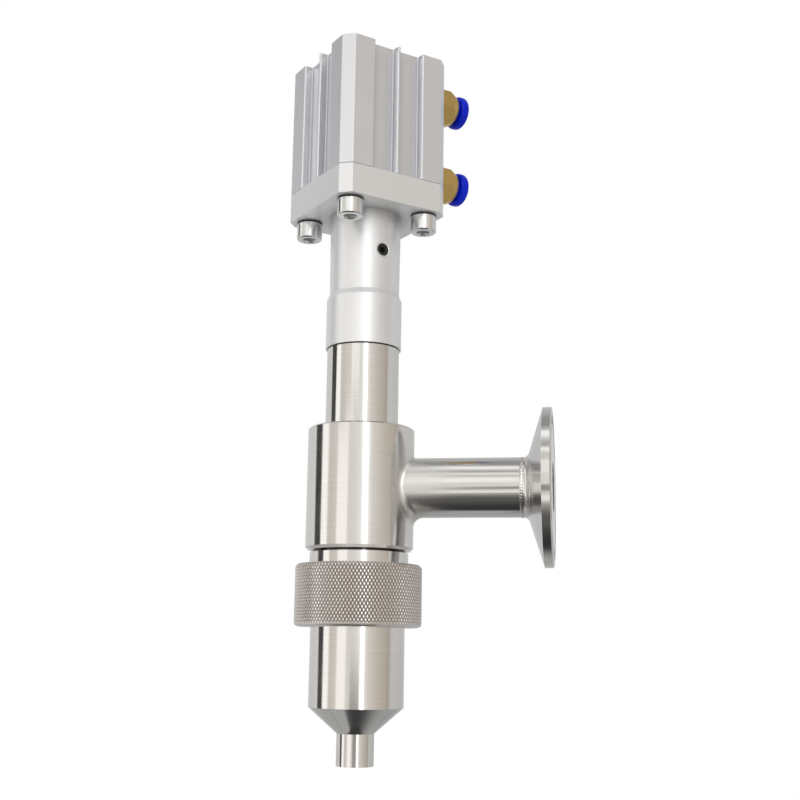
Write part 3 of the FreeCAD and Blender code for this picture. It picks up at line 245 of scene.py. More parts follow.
knurled_nut = grid_mesh("knurled_nut", points, close_rows=True, diagonals=half_cell % 2 == 0)
sunk = np.vstack([sunk, np.zeros((inner.size, u.size))])
depth_note = knurled_nut.data.attributes.new("sunk", "FLOAT", "POINT")
depth_note.data.foreach_set("value", sunk.astype(np.float32).ravel())
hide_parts("union_nut")
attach(knurled_nut, "hand_nut")
print("the knurled nut stands in for union_nut and rides on hand_nut")

# %% [markdown]
# ## Nodes in few words
# A finish is a tree of nodes, and most of its lines would only make a node and join its sockets. The
# same could be clicked together by hand. The helpers below keep each step to one line, and they take
# a plain value wherever they take a socket.


# %% Node helpers
def add_node(tree, kind, **settings):
    """A new node of a tree, with its settings given by name."""
    made = tree.nodes.new(kind)
    for name, value in settings.items():
        setattr(made, name, value)
    return made


def feed(tree, source, target):
    """Joins an output socket to an input socket, or sets the input's own value."""
    if isinstance(source, bpy.types.NodeSocket):
        tree.links.new(source, target)
    else:
        target.default_value = source


def result(tree, kind, gives, *values, **settings):
    """One output of a new node, whose first inputs are fed with the values in order."""
    made = add_node(tree, kind, **settings)
    for index, value in enumerate(values):
        feed(tree, value, made.inputs[index])
    return made.outputs[gives]


print("node helpers: add_node, feed, result")


# %% Sums and noise
def number(tree, operation, *values):
    """The number that a Math node works out."""
    return result(tree, "ShaderNodeMath", "Value", *values, operation=operation)


def vector(tree, operation, *values):
    """The vector that a Vector Math node works out."""
    return result(tree, "ShaderNodeVectorMath", "Vector", *values, operation=operation)


def measure(tree, operation, *values):
    """The number that a Vector Math node works out: a length, a distance or a dot product."""
    return result(tree, "ShaderNodeVectorMath", "Value", *values, operation=operation)


def ranged(tree, value, low, high, to_low, to_high):
    """A value carried from one range to another, and held inside it."""
    return result(tree, "ShaderNodeMapRange", "Result", value, low, high, to_low, to_high)


def noise(tree, place, scale, detail=3.0):
    """A noise texture's value at a place. It seldom leaves the range from 0.3 to 0.7."""
    texture = add_node(tree, "ShaderNodeTexNoise")
    feed(tree, place, texture.inputs["Vector"])
    feed(tree, scale, texture.inputs["Scale"])
    texture.inputs["Detail"].default_value = detail
    return texture.outputs["Fac"]


print("sums and noise: number, vector, measure, ranged, noise")

# %% [markdown]
# ## Tool marks
# A lathe tool leaves fine rings, a die leaves long lines, and handling leaves soft clouds in the
# gloss. Marks this fine would take millions of faces in a mesh, and a painted picture of them would
# show its seams. Noise has neither fault: pulled out one way it becomes lines. It is a group with the
# pull as an input, so that each finish sets the direction of its own marks.

# %% Tool marks
NOISE_LOW = 0.3
NOISE_HIGH = 0.7
# The stretch already sets how fine the marks are, so their noise has a scale of 1.
MARKS_SCALE = 1.0
MARKS_DETAIL = 4.0
CLOUDS_PER_METRE = 70.0
CLOUDS_DETAIL = 2.0


def new_group(name, inputs, outputs):
    """An empty shader group with named sockets. Returns the tree and its input and output nodes."""
    tree = bpy.data.node_groups.new(name, "ShaderNodeTree")
    for direction, sockets in (("INPUT", inputs), ("OUTPUT", outputs)):
        for label, kind in sockets:
            tree.interface.new_socket(label, in_out=direction, socket_type="NodeSocket" + kind)
    print("group", name, [label for label, kind in inputs], "to", [label for label, kind in outputs])
    return tree, tree.nodes.new("NodeGroupInput"), tree.nodes.new("NodeGroupOutput")


marks_tree, marks_in, marks_out = new_group(
    "tool_marks",
    [("Position", "Vector"), ("Stretch", "Vector"), ("Roughness", "Float"), ("Spread", "Float")],
    [("Height", "Float"), ("Roughness", "Float")],
)
marks_place = marks_in.outputs["Position"]
stretched = vector(marks_tree, "MULTIPLY", marks_place, marks_in.outputs["Stretch"])
marks_height = noise(marks_tree, stretched, MARKS_SCALE, MARKS_DETAIL)
feed(marks_tree, marks_height, marks_out.inputs["Height"])
clouds = noise(marks_tree, marks_place, CLOUDS_PER_METRE, CLOUDS_DETAIL)
clouds = ranged(marks_tree, clouds, NOISE_LOW, NOISE_HIGH, -1.0, 1.0)
clouded = number(
    marks_tree, "MULTIPLY_ADD", clouds, marks_in.outputs["Spread"], marks_in.outputs["Roughness"]
)
feed(marks_tree, clouded, marks_out.inputs["Roughness"])

# %% [markdown]
# ## Soft edges
# No machined edge is quite sharp, and its tiny round catches the light as a thin bright line. A bevel
# on the mesh could make it, but the frame's meshes stay as they are. The Bevel node bends the shaded
# normal beside an edge instead. Where that normal leaves the true one, there is an edge, and the
# metals lay a painted highlight on it: the dot product of the two is their agreement.

# %% Soft edges
EDGE_SAMPLES = 6
EDGE_BEGINS = 0.98
EDGE_IS_FULL = 0.80
edge_tree, edge_in, edge_out = new_group(
    "soft_edges", [("Radius", "Float")], [("Normal", "Vector"), ("Edge", "Float")]
)
rounding = add_node(edge_tree, "ShaderNodeBevel", samples=EDGE_SAMPLES)
feed(edge_tree, edge_in.outputs["Radius"], rounding.inputs["Radius"])
rounded_normal = rounding.outputs["Normal"]
true_normal = add_node(edge_tree, "ShaderNodeNewGeometry").outputs["Normal"]
agreement = measure(edge_tree, "DOT_PRODUCT", rounded_normal, true_normal)
feed(edge_tree, rounded_normal, edge_out.inputs["Normal"])
edge_share = ranged(edge_tree, agreement, EDGE_BEGINS, EDGE_IS_FULL, 0.0, 1.0)
feed(edge_tree, edge_share, edge_out.inputs["Edge"])

# %% [markdown]
# ## Metals
# A metal's base colour is the colour of its reflections. Everything else that tells polished
# stainless from sand-dull anodised aluminium is roughness, and the direction of the marks. Each metal
# could have a tree of its own, but they differ in numbers alone, so one recipe makes them all. The
# stretch sets the direction: large along an axis means fine lines across that axis, so a bar turned
# about Z gets rings, and an extrusion pulled along Z gets long lines. Oxide hides a part of the metal
# on aluminium, brass and blackened steel, so their metallic value is under 1.

# %% What every finish starts with
RELIEF_DEPTH = 0.02 * MM


def new_finish(name):
    """A new material. Returns it with its tree and its Principled shader."""
    material = bpy.data.materials.new(name)
    material.use_nodes = True
    return material, material.node_tree, material.node_tree.nodes["Principled BSDF"]


def place_on_object(tree):
    """Where a point lies, in metres. Every piece stands at the origin, so this is its true place."""
    return add_node(tree, "ShaderNodeTexCoord").outputs["Object"]


def blend(tree, amount, first, second, kind="RGBA"):
    """A Mix node: the first where the amount is 0, and the second where it is 1."""
    made = add_node(tree, "ShaderNodeMix", data_type=kind)
    feed(tree, amount, made.inputs["Factor"])
    feed(tree, first, made.inputs["A"])
    feed(tree, second, made.inputs["B"])
    return made.outputs["Result"]


def add_relief(tree, shader, height, strength):
    """A Bump node named relief, between a height and the shader's normal."""
    relief = add_node(tree, "ShaderNodeBump", name="relief")
    relief.inputs["Strength"].default_value = strength
    relief.inputs["Distance"].default_value = RELIEF_DEPTH
    feed(tree, height, relief.inputs["Height"])
    feed(tree, relief.outputs["Normal"], shader.inputs["Normal"])
    return relief


print(f"a finish has a place, a tint and a relief {RELIEF_DEPTH / MM:.2f} mm deep")


# %% Metal recipe
# Painted glint: the colour is lightened this much where the marks stand high.
PAINTED_GLINT = 1.06
GLINT_LOW = 0.35
GLINT_HIGH = 0.65


def metal(name, colour, roughness, stretch, bump,
          metallic=1.0, spread=0.03, edge_radius=0.0, edge=None):
    """A metal whose gloss varies in clouds, with tool marks one way.

    Where an edge radius is given, its edges are soft and get the edge's colour, a painted
    highlight. Elsewhere the raised side of the marks is painted lighter, a painted glint.
    """
    material, tree, shader = new_finish(name)
    shader.inputs["Metallic"].default_value = metallic
    marks = add_node(tree, "ShaderNodeGroup", node_tree=marks_tree, name="tool marks")
    feed(tree, place_on_object(tree), marks.inputs["Position"])
    marks.inputs["Stretch"].default_value = stretch
    marks.inputs["Roughness"].default_value = roughness
    marks.inputs["Spread"].default_value = spread
    feed(tree, marks.outputs["Roughness"], shader.inputs["Roughness"])
    relief = add_relief(tree, shader, marks.outputs["Height"], bump)
    if edge_radius:
        edges = add_node(tree, "ShaderNodeGroup", node_tree=edge_tree)
        edges.inputs["Radius"].default_value = edge_radius
        feed(tree, edges.outputs["Normal"], relief.inputs["Normal"])
        brighter = edges.outputs["Edge"]
    else:
        brighter = ranged(tree, marks.outputs["Height"], GLINT_LOW, GLINT_HIGH, 0.0, 1.0)
    # Painted highlight: the soft edges, or else the raised side of the marks, get a lighter colour.
    bright = edge or [min(1.0, PAINTED_GLINT * channel) for channel in colour]
    tint = blend(tree, brighter, (*colour, 1.0), (*bright, 1.0))
    feed(tree, tint, shader.inputs["Base Color"])
    return material


print(f"a metal glints at {PAINTED_GLINT:.2f} times its colour")

# %% Metals of the nozzle
RINGS_ABOUT_Z = (60.0, 60.0, 5200.0)
RINGS_ABOUT_X = (5200.0, 60.0, 60.0)
LINES_ALONG_Z = (3600.0, 3600.0, 14.0)
EVERY_WAY = (2600.0, 2600.0, 2600.0)
STEEL = (0.78, 0.77, 0.75)
POLISH = 0.115
KNURL_TIP_ROUGHNESS = 0.31
# edge is the colour of the painted highlight along the soft edges.
METALS = {
    "polished_stainless": dict(colour=STEEL, roughness=POLISH, stretch=RINGS_ABOUT_Z, bump=0.25),
    "polished_inlet": dict(colour=STEEL, roughness=POLISH, stretch=RINGS_ABOUT_X, bump=0.25),
    "knurled_stainless": dict(
        colour=(0.89, 0.86, 0.84), roughness=KNURL_TIP_ROUGHNESS, stretch=RINGS_ABOUT_Z, bump=0.2),
    "anodised_aluminium": dict(
        colour=(0.785, 0.80, 0.83), roughness=0.36, stretch=LINES_ALONG_Z, bump=0.35, metallic=0.85,
        edge_radius=0.25 * MM, edge=(0.95, 0.95, 0.96)),
    "turned_aluminium": dict(
        colour=(0.82, 0.825, 0.83), roughness=0.43, stretch=RINGS_ABOUT_Z, bump=0.4, metallic=0.78,
        edge_radius=0.2 * MM, edge=(0.95, 0.95, 0.94)),
    "bright_zinc": dict(
        colour=(0.84, 0.85, 0.85), roughness=0.22, stretch=RINGS_ABOUT_Z, bump=0.3,
        edge_radius=0.2 * MM),
    "black_steel": dict(
        colour=(0.03, 0.03, 0.032), roughness=0.35, stretch=EVERY_WAY, bump=0.3, metallic=0.5),
    "spring_steel": dict(colour=(0.26, 0.26, 0.27), roughness=0.34, stretch=EVERY_WAY, bump=0.3),
    "chromed_steel": dict(
        colour=(0.84, 0.84, 0.85), roughness=0.07, stretch=RINGS_ABOUT_Z, bump=0.1, spread=0.01),
    "fitting_brass": dict(
        colour=(0.62, 0.42, 0.14), roughness=0.25, stretch=EVERY_WAY, bump=0.35, metallic=0.9,
        edge_radius=0.15 * MM),
    "bush_bronze": dict(colour=(0.58, 0.36, 0.17), roughness=0.34, stretch=RINGS_ABOUT_Z, bump=0.3),
}
finishes = {name: metal(name, **recipe) for name, recipe in METALS.items()}
print("metals:", ", ".join(finishes))

# %% [markdown]
# ## Dark valleys in the knurl
# The valleys of a knurl see little of the room, so they look darker than the tips, and they are
# duller. Their darkness is painted shade here. A texture could paint it, but it would have to meet
# every groove. The nut's own points know how deep they are sunk, so colour and roughness read that
# number.

# %% Knurl valleys
VALLEY_ROUGHNESS = 0.58
VALLEY_PAINTED_SHADE = (0.39, 0.345, 0.31)
# Shares of the knurl's depth over which it turns dull, and over which the painted shade comes in.
DULL_FROM = 0.0
DULL_TO = 0.6
DARK_FROM = 0.1
DARK_TO = 0.8


def overlay(tree, amount, colour):
    """Lays a second colour over a finish, by an amount from 0 to 1."""
    target = tree.nodes["Principled BSDF"].inputs["Base Color"]
    feed(tree, blend(tree, amount, target.links[0].from_socket, (*colour, 1.0)), target)


knurl = finishes["knurled_stainless"].node_tree
depth = add_node(knurl, "ShaderNodeAttribute", attribute_name="sunk").outputs["Fac"]
dull = ranged(knurl, depth, DULL_FROM, DULL_TO, KNURL_TIP_ROUGHNESS, VALLEY_ROUGHNESS)
feed(knurl, dull, knurl.nodes["tool marks"].inputs["Roughness"])
# Painted shade: the valleys' colour goes over to the darker valley colour.
overlay(knurl, ranged(knurl, depth, DARK_FROM, DARK_TO, 0.0, 1.0), VALLEY_PAINTED_SHADE)
print("knurl: roughness", KNURL_TIP_ROUGHNESS, "on the tips,", VALLEY_ROUGHNESS, "in the valleys")

# %% [markdown]
# ## Two dark gaps
# Under the tee's foot lies a narrow undercut, and the tube enters the collar with a gap. Both are dark
# lines on the real nozzle. They could be left to the light, but polished walls that face each other
# pass on too much of the tent. So both get painted shade, by a mask that is 1 between two heights.
# On the tee it also has to lie near enough to the axis, or it would ring the whole foot.

# %% Undercut of the tee
UNDERCUT_FOOT = 64.99 * MM
UNDERCUT_TOP = 65.81 * MM
UNDERCUT_RADIUS = 15.6 * MM
UNDERCUT_SOFTNESS = 0.2 * MM
UNDERCUT_PAINTED_SHADE = (0.05, 0.04, 0.045)


def finish_like(source, name):
    """A finish for one piece that starts as a copy of another. Returns its tree."""
    finishes[name] = finishes[source].copy()
    finishes[name].name = name
    return finishes[name].node_tree


def coordinate(tree, place, axis):
    """One number of a place: its X, Y or Z."""
    return result(tree, "ShaderNodeSeparateXYZ", axis, place)


def between(tree, value, low, high):
    """1 where a value lies between low and high, and 0 elsewhere."""
    return number(tree, "COMPARE", value, (low + high) / 2, (high - low) / 2)


def from_axis_of_z(tree, place):
    """Distance from the upright axis: the length of (x, y, 0)."""
    return measure(tree, "LENGTH", vector(tree, "MULTIPLY", place, (1.0, 1.0, 0.0)))


tee = finish_like("polished_stainless", "polished_tee")
tee_place = place_on_object(tee)
at_foot = between(tee, coordinate(tee, tee_place, "Z"), UNDERCUT_FOOT, UNDERCUT_TOP)
tee_radius = from_axis_of_z(tee, tee_place)
within = ranged(tee, tee_radius, UNDERCUT_RADIUS, UNDERCUT_RADIUS - UNDERCUT_SOFTNESS, 0.0, 1.0)
# Painted shade in the undercut under the tee's foot.
overlay(tee, number(tee, "MULTIPLY", at_foot, within), UNDERCUT_PAINTED_SHADE)
print(f"undercut up to {UNDERCUT_RADIUS / MM:.1f} mm from the axis")

# %% Gap under the collar
COLLAR_GAP_FOOT = 131.3 * MM
COLLAR_GAP_TOP = 131.8 * MM
COLLAR_GAP_PAINTED_SHADE = (0.06, 0.055, 0.05)
tube = finish_like("polished_stainless", "polished_tube")
tube_height = coordinate(tube, place_on_object(tube), "Z")
# Painted shade in the gap under the collar.
overlay(tube, between(tube, tube_height, COLLAR_GAP_FOOT, COLLAR_GAP_TOP), COLLAR_GAP_PAINTED_SHADE)
print("gap under the collar from", round(COLLAR_GAP_FOOT / MM, 1), "mm up")

# %% [markdown]
# ## Satin where the branch leaves the tee
# A lathe can polish a barrel but not the saddle where a pipe leaves it. The saddle is rubbed by hand
# and stays satin. It could be a mask painted on the mesh. The distance from the branch's root on the
# barrel does as well, and carries straight over to a roughness.

# %% Satin saddle
SATIN_NEAR = 9.0 * MM
SATIN_FAR = 20.0 * MM
SATIN_ROUGHNESS = 0.30
tee_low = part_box("tee_body")[0]
ferrule_low, ferrule_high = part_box("inlet_ferrule")
inlet_middle = (ferrule_low + ferrule_high) / 2
branch_root = (-tee_low.x, 0.0, inlet_middle.z)
from_root = measure(tee, "DISTANCE", tee_place, branch_root)
satin = ranged(tee, from_root, SATIN_NEAR, SATIN_FAR, SATIN_ROUGHNESS, POLISH)
feed(tee, satin, tee.nodes["tool marks"].inputs["Roughness"])
print(f"satin fades out {SATIN_FAR / MM:.0f} mm from the branch's root")

# %% [markdown]
# ## The back of the ferrule
# The ferrule is polished on its front, where it seals. Its neck and the back of its rim are a
# little less glossy, and their colour is darkened to a grey, a painted shade. The faces could be
# split off and given a second material. One material with a mask between two places along the pipe
# keeps the piece whole.

# %% Back of the ferrule
FERRULE_BACK_START = 53.6 * MM
FERRULE_BACK_END = 58.7 * MM
FERRULE_BACK_PAINTED_SHADE = (0.60, 0.595, 0.60)
FERRULE_BACK_ROUGHNESS = 0.15
ferrule = finish_like("polished_inlet", "polished_ferrule")
along_pipe = coordinate(ferrule, place_on_object(ferrule), "X")
on_back = between(ferrule, along_pipe, FERRULE_BACK_START, FERRULE_BACK_END)
# Painted shade: the back is laid over with a darker grey.
overlay(ferrule, on_back, FERRULE_BACK_PAINTED_SHADE)
back_gloss = ranged(ferrule, on_back, 0.0, 1.0, POLISH, FERRULE_BACK_ROUGHNESS)
feed(ferrule, back_gloss, ferrule.nodes["tool marks"].inputs["Roughness"])
print("back of the ferrule from", round(FERRULE_BACK_START / MM, 1), "mm out")

# %% [markdown]
# ## Turned below, milled at the sides
# The adaptor is turned up to the underside of its flange, but the flange is milled on its four sides,
# where the cutter leaves upright lines. Two materials could meet at the edge. As only the direction
# of the marks changes, it is enough to swap the stretch above the flange's foot.

# %% Milled flange
FLANGE_FOOT = 177.15 * MM
MILLED_UPRIGHT = (1500.0, 1500.0, 8.0)
adaptor = finish_like("turned_aluminium", "turned_and_milled")
adaptor_place = place_on_object(adaptor)
on_flange = number(adaptor, "GREATER_THAN", coordinate(adaptor, adaptor_place, "Z"), FLANGE_FOOT)
direction = blend(adaptor, on_flange, RINGS_ABOUT_Z, MILLED_UPRIGHT, "VECTOR")
feed(adaptor, direction, adaptor.nodes["tool marks"].inputs["Stretch"])
print("upright marks above", round(FLANGE_FOOT / MM, 2), "mm")

# %% [markdown]
# ## The set screw's countersink
# The threaded hole of the set screw has a small countersink that catches the light. It is under half
# a millimetre wide, so it could be cut in the solid or shaded. Here it is shaded, as a slope of the
# normal: a cone's height falls evenly towards the screw's axis. Its colour is lightened as well, a
# painted highlight. The mask needs two distances, one along the screw's axis, to stay on the neck's
# outside, and one across it.

# %% Countersink of the set screw
COUNTERSINK_INNER = 2.05 * MM
COUNTERSINK_OUTER = 2.55 * MM
COUNTERSINK_SOFTNESS = 0.1 * MM
COUNTERSINK_DEPTH = 0.25 * MM
COUNTERSINK_PAINTED_HIGHLIGHT = (0.97, 0.97, 0.97)
NECK_SKIN_FROM = 10.2 * MM
NECK_SKIN_TO = 10.6 * MM
screw_low, screw_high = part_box("set_screw")
screw_middle = (screw_low + screw_high) / 2
screw_way = Vector((screw_middle.x, screw_middle.y, 0.0)).normalized()
from_axis = vector(adaptor, "SUBTRACT", adaptor_place, (0.0, 0.0, screw_middle.z))
along = vector(adaptor, "PROJECT", from_axis, screw_way)
aside = measure(adaptor, "DISTANCE", from_axis, along)
outwards = measure(adaptor, "DOT_PRODUCT", from_axis, screw_way)
on_skin = ranged(adaptor, outwards, NECK_SKIN_FROM, NECK_SKIN_TO, 0.0, 1.0)
rim_start = COUNTERSINK_OUTER - COUNTERSINK_SOFTNESS
in_mouth = ranged(adaptor, aside, COUNTERSINK_OUTER, rim_start, 0.0, 1.0)
mouth = number(adaptor, "MULTIPLY", on_skin, in_mouth)
cone = ranged(adaptor, aside, COUNTERSINK_INNER, COUNTERSINK_OUTER, -1.0, 0.0)
slope = add_node(adaptor, "ShaderNodeBump", name="countersink")
slope.inputs["Distance"].default_value = COUNTERSINK_DEPTH
feed(adaptor, number(adaptor, "MULTIPLY", cone, mouth), slope.inputs["Height"])
relief_normal = adaptor.nodes["relief"].inputs["Normal"]
feed(adaptor, relief_normal.links[0].from_socket, slope.inputs["Normal"])
feed(adaptor, slope.outputs["Normal"], relief_normal)
# Painted highlight: the countersink's colour is lightened.
overlay(adaptor, mouth, COUNTERSINK_PAINTED_HIGHLIGHT)
print("countersink at", [round(v / MM, 1) for v in screw_middle], "mm")

# %% [markdown]
# ## Deep corners
# Matt aluminium looks darker in its grooves and inner corners, where it sees less of the room. The
# lamps alone make too little of it, so the corners get painted shade. It could be painted into each
# corner, but the Ambient Occlusion node finds the corners by itself: it measures how open a point is
# within a reach. It looks at the piece alone, so that the exported model keeps no shade of a
# neighbour.

# %% Deep corners
CORNER_SAMPLES = 8
CORNER_BEGINS = 0.95
CORNER_IS_FULL = 0.45
CORNERS = {
    "anodised_aluminium": dict(reach=5.0 * MM, shade=(0.42, 0.42, 0.44)),
    "turned_and_milled": dict(reach=7.0 * MM, shade=(0.50, 0.50, 0.50)),
}
corner_tree, corner_in, corner_out = new_group(
    "deep_corners", [("Reach", "Float")], [("Depth", "Float")]
)
openness = add_node(
    corner_tree, "ShaderNodeAmbientOcclusion", samples=CORNER_SAMPLES, only_local=True
)
feed(corner_tree, corner_in.outputs["Reach"], openness.inputs["Distance"])
corner_depth = ranged(corner_tree, openness.outputs["AO"], CORNER_BEGINS, CORNER_IS_FULL, 0.0, 1.0)
feed(corner_tree, corner_depth, corner_out.inputs["Depth"])
for name, corner in CORNERS.items():
    tree = finishes[name].node_tree
    corners = add_node(tree, "ShaderNodeGroup", node_tree=corner_tree)
    corners.inputs["Reach"].default_value = corner["reach"]
    # Painted shade in the grooves and inner corners.
    overlay(tree, corners.outputs["Depth"], corner["shade"])
print("deep corners in", ", ".join(CORNERS))

# %% [markdown]
# ## Plastics and rubber
# The release rings are moulded and have a satin skin. The seals are matt: white ones waxy, with a
# little light under their skin, and black ones with the faint bloom that rubber has. Each could be a
# tree of its own, but again one recipe serves them all. Their grain has no direction, so its noise is
# not stretched.

# %% Plastic recipe
SKIN_DEPTH = 0.3 * MM
BLOOM_PER_METRE = 160.0
BLOOM_LOW = 0.4
BLOOM_HIGH = 0.7
BLOOM_DULLS = 0.08
GRAIN_PER_METRE = 3000.0
GRAIN_DETAIL = 2.0


def plastic(name, colour, bloom, roughness, bump, gloss=0.5, under_skin=0.0):
    """A moulded surface: a fine even grain, with a second colour in soft clouds over the first."""
    material, tree, shader = new_finish(name)
    shader.inputs["Specular IOR Level"].default_value = gloss
    shader.inputs["Subsurface Weight"].default_value = under_skin
    shader.inputs["Subsurface Scale"].default_value = SKIN_DEPTH
    place = place_on_object(tree)
    cloud = ranged(tree, noise(tree, place, BLOOM_PER_METRE), BLOOM_LOW, BLOOM_HIGH, 0.0, 1.0)
    feed(tree, blend(tree, cloud, (*colour, 1.0), (*bloom, 1.0)), shader.inputs["Base Color"])
    duller = ranged(tree, cloud, 0.0, 1.0, roughness, roughness + BLOOM_DULLS)
    feed(tree, duller, shader.inputs["Roughness"])
    add_relief(tree, shader, noise(tree, place, GRAIN_PER_METRE, GRAIN_DETAIL), bump)
    return material


PLASTICS = {
    "blue_plastic": dict(
        colour=(0.0, 0.012, 0.47), bloom=(0.001, 0.016, 0.52), roughness=0.30, bump=0.1, gloss=0.15),
    "white_fluoroplastic": dict(
        colour=(0.86, 0.86, 0.84), bloom=(0.80, 0.80, 0.78), roughness=0.45, bump=0.2, under_skin=0.2),
    "black_rubber": dict(
        colour=(0.018, 0.018, 0.019), bloom=(0.035, 0.035, 0.036), roughness=0.55, bump=0.4),
}
finishes.update({name: plastic(name, **recipe) for name, recipe in PLASTICS.items()})
print("plastics and rubber:", ", ".join(PLASTICS))

# %% [markdown]
# ## Dressing the pieces
# Each piece of the frame comes with the name of its finish. A list of all the pieces could say it
# again, but then two lists would have to agree, so most pieces are dressed by the name they bring.
# Four need the finishes made for them above.

# %% Dress
SPECIAL = {
    "inlet_ferrule": "polished_ferrule",
    "tee_body": "polished_tee",
    "upper_tube": "polished_tube",
    "flanged_adaptor": "turned_and_milled",
}
for name, piece in nodes.items():
    wanted = SPECIAL.get(name, piece.data.materials[0].name.split(".")[0])
    piece.data.materials[0] = finishes[wanted]
knurled_nut.data.materials.append(finishes["knurled_stainless"])
print(f"{len(nodes) + 1} pieces dressed")

# %% [markdown]
# ## The weld on the inlet
# The ferrule is a bought part with a short neck, welded to the branch pipe and then polished. What is
# left is a low bead with the faint ripples of the weld pool. A bump could suggest it, but its outline
# shows against the white, so it is a ring about the pipe's axis: a flat arch for a profile, whose
# height waves a little on its way round.

# %% Weld bead
INLET_RADIUS = 9.525 * MM
WELD_WIDTH = 1.1 * MM
WELD_HEIGHT = 0.16 * MM
WELD_RIPPLES = 64
WELD_ROWS = 9
WELD_COLUMNS = 512


def weld_points(place, radius, width, height, ripples, rows, columns):
    """Arch across the seam, a ring about X.

    r = radius + height (1 - t^2) (0.75 + 0.25 cos(ripples a - 2 t)) - 0.05 height, with t from -1 to 1
    across the seam and a once round the pipe. The last term puts the first and last rows under the
    pipe's skin, so that the bead has no edge of its own.
    """
    t = np.linspace(-1.0, 1.0, rows)[:, None]
    a = np.linspace(0.0, 2.0 * np.pi, columns, endpoint=False)[None, :]
    arch = height * (1.0 - t ** 2) * (0.75 + 0.25 * np.cos(ripples * a - 2.0 * t)) - 0.05 * height
    x = place.x + width / 2 * np.broadcast_to(t, arch.shape)
    y = place.y + (radius + arch) * np.cos(a)
    z = place.z + (radius + arch) * np.sin(a)
    return np.stack([x, y, z], -1)


seam = Vector((ferrule_low.x, inlet_middle.y, inlet_middle.z))
weld_grid = weld_points(
    seam, INLET_RADIUS, WELD_WIDTH, WELD_HEIGHT, WELD_RIPPLES, WELD_ROWS, WELD_COLUMNS
)
weld = grid_mesh("inlet_weld", weld_grid, close_rows=True)
weld.data.shade_smooth()
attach(weld, "housing")
weld.data.materials.append(finishes["polished_inlet"])
print(f"weld bead at x = {seam.x / MM:.1f} mm")

# %% [markdown]
# ## Cloth and cards for polished steel
# Polished steel has no colour of its own: it shows what stands round it. A photographer puts it in
# a tent of white cloth and hangs grey, white and black cards in it, and each card becomes a band
# down the side of every cylinder. Lamps alone could light the steel, but it would show two squares
# and a void. So the tent is described here as a colour for each direction. A direction is an angle
# round the nozzle and an angle above the level, both in degrees. An angle round of 0 lies between the
# nozzle's front and the camera, and one of 90 lies to the right of that.

# %% Cloth
# Each row is an angle round, the cloth's level there and its warmth.
CLOTH_ROUND = ((-180, 0.66, 0.0), (-165, 0.68, 0.0), (-120, 0.70, 0.05), (-80, 0.85, 0.1),
               (-60, 0.62, 0.2), (-45, 0.70, 0.2), (-15, 0.75, 0.15), (0, 0.82, 0.1),
               (10, 0.95, 0.05), (25, 0.95, 0.05), (30, 0.76, 0.15), (45, 0.64, 0.25),
               (60, 0.54, 0.33), (80, 0.47, 0.36), (88, 0.40, 0.30), (97, 0.62, 0.10),
               (110, 0.64, 0.05), (145, 0.58, 0.0), (180, 0.66, 0.0))
# Each row is an angle above the level and what the cloth's level is multiplied by there.
CLOTH_UP_FRONT = ((-90, 0.05), (-80, 0.06), (-70, 0.085), (-60, 0.13), (-48, 0.145), (-43, 0.20),
                  (-38, 0.30), (-33, 0.45), (-29, 0.62), (-26, 1.20), (-21, 1.20), (-18, 0.88),
                  (-12, 1.0), (28, 1.0), (33, 0.85), (42, 0.84), (45, 1.30), (48, 1.30), (51, 0.60),
                  (56, 0.56), (62, 0.80), (66, 1.0), (70, 1.35), (77, 1.35), (81, 0.75), (90, 0.40))
CLOTH_UP_BACK = ((-90, 0.04), (-80, 0.06), (-75, 0.12), (-70, 0.22), (-64, 0.36), (-52, 0.56),
                 (-40, 0.60), (-30, 0.65), (-12, 0.85), (0, 1.0), (25, 0.95), (40, 0.80),
                 (55, 0.66), (70, 0.42), (90, 0.40))
CLOTH_EVEN_LEVEL = 0.8
CLOTH_EVEN_FROM = 35.0
CLOTH_EVEN_OVER = 35.0
CLOTH_BACK_FROM = 60.0
CLOTH_BACK_OVER = 60.0


def tinted(level, warmth):
    """A grey of that level, pulled to the warm side: red x (1 + 0.3 w), blue x (1 - 0.35 w)."""
    return np.stack([level * (1.0 + 0.3 * warmth), level, level * (1.0 - 0.35 * warmth)], -1)


def eased(share):
    """Smooth step from 0 to 1: 3 s^2 - 2 s^3, with s held between 0 and 1."""
    share = np.clip(share, 0.0, 1.0)
    return share * share * (3.0 - 2.0 * share)


def cloth_light(around, above):
    """Colour of the bare cloth in a direction: its level round the nozzle times a factor upwards.

    Overhead and underfoot the level fades to one even level, because all the angles round meet
    there. The factor upwards goes over from that of the front to that of the back.
    """
    stops, levels, warmths = np.array(CLOTH_ROUND, float).T
    steep = eased((np.abs(above) - CLOTH_EVEN_FROM) / CLOTH_EVEN_OVER)
    level = np.interp(around, stops, levels) * (1.0 - steep) + CLOTH_EVEN_LEVEL * steep
    warmth = np.interp(around, stops, warmths) * (1.0 - steep)
    front = np.interp(above, *np.array(CLOTH_UP_FRONT, float).T)
    back = np.interp(above, *np.array(CLOTH_UP_BACK, float).T)
    to_back = eased((np.abs(around) - CLOTH_BACK_FROM) / CLOTH_BACK_OVER)
    return tinted(level * (front * (1.0 - to_back) + back * to_back), warmth)


print(f"cloth: {len(CLOTH_ROUND)} stops round, {len(CLOTH_UP_FRONT)} up in front")

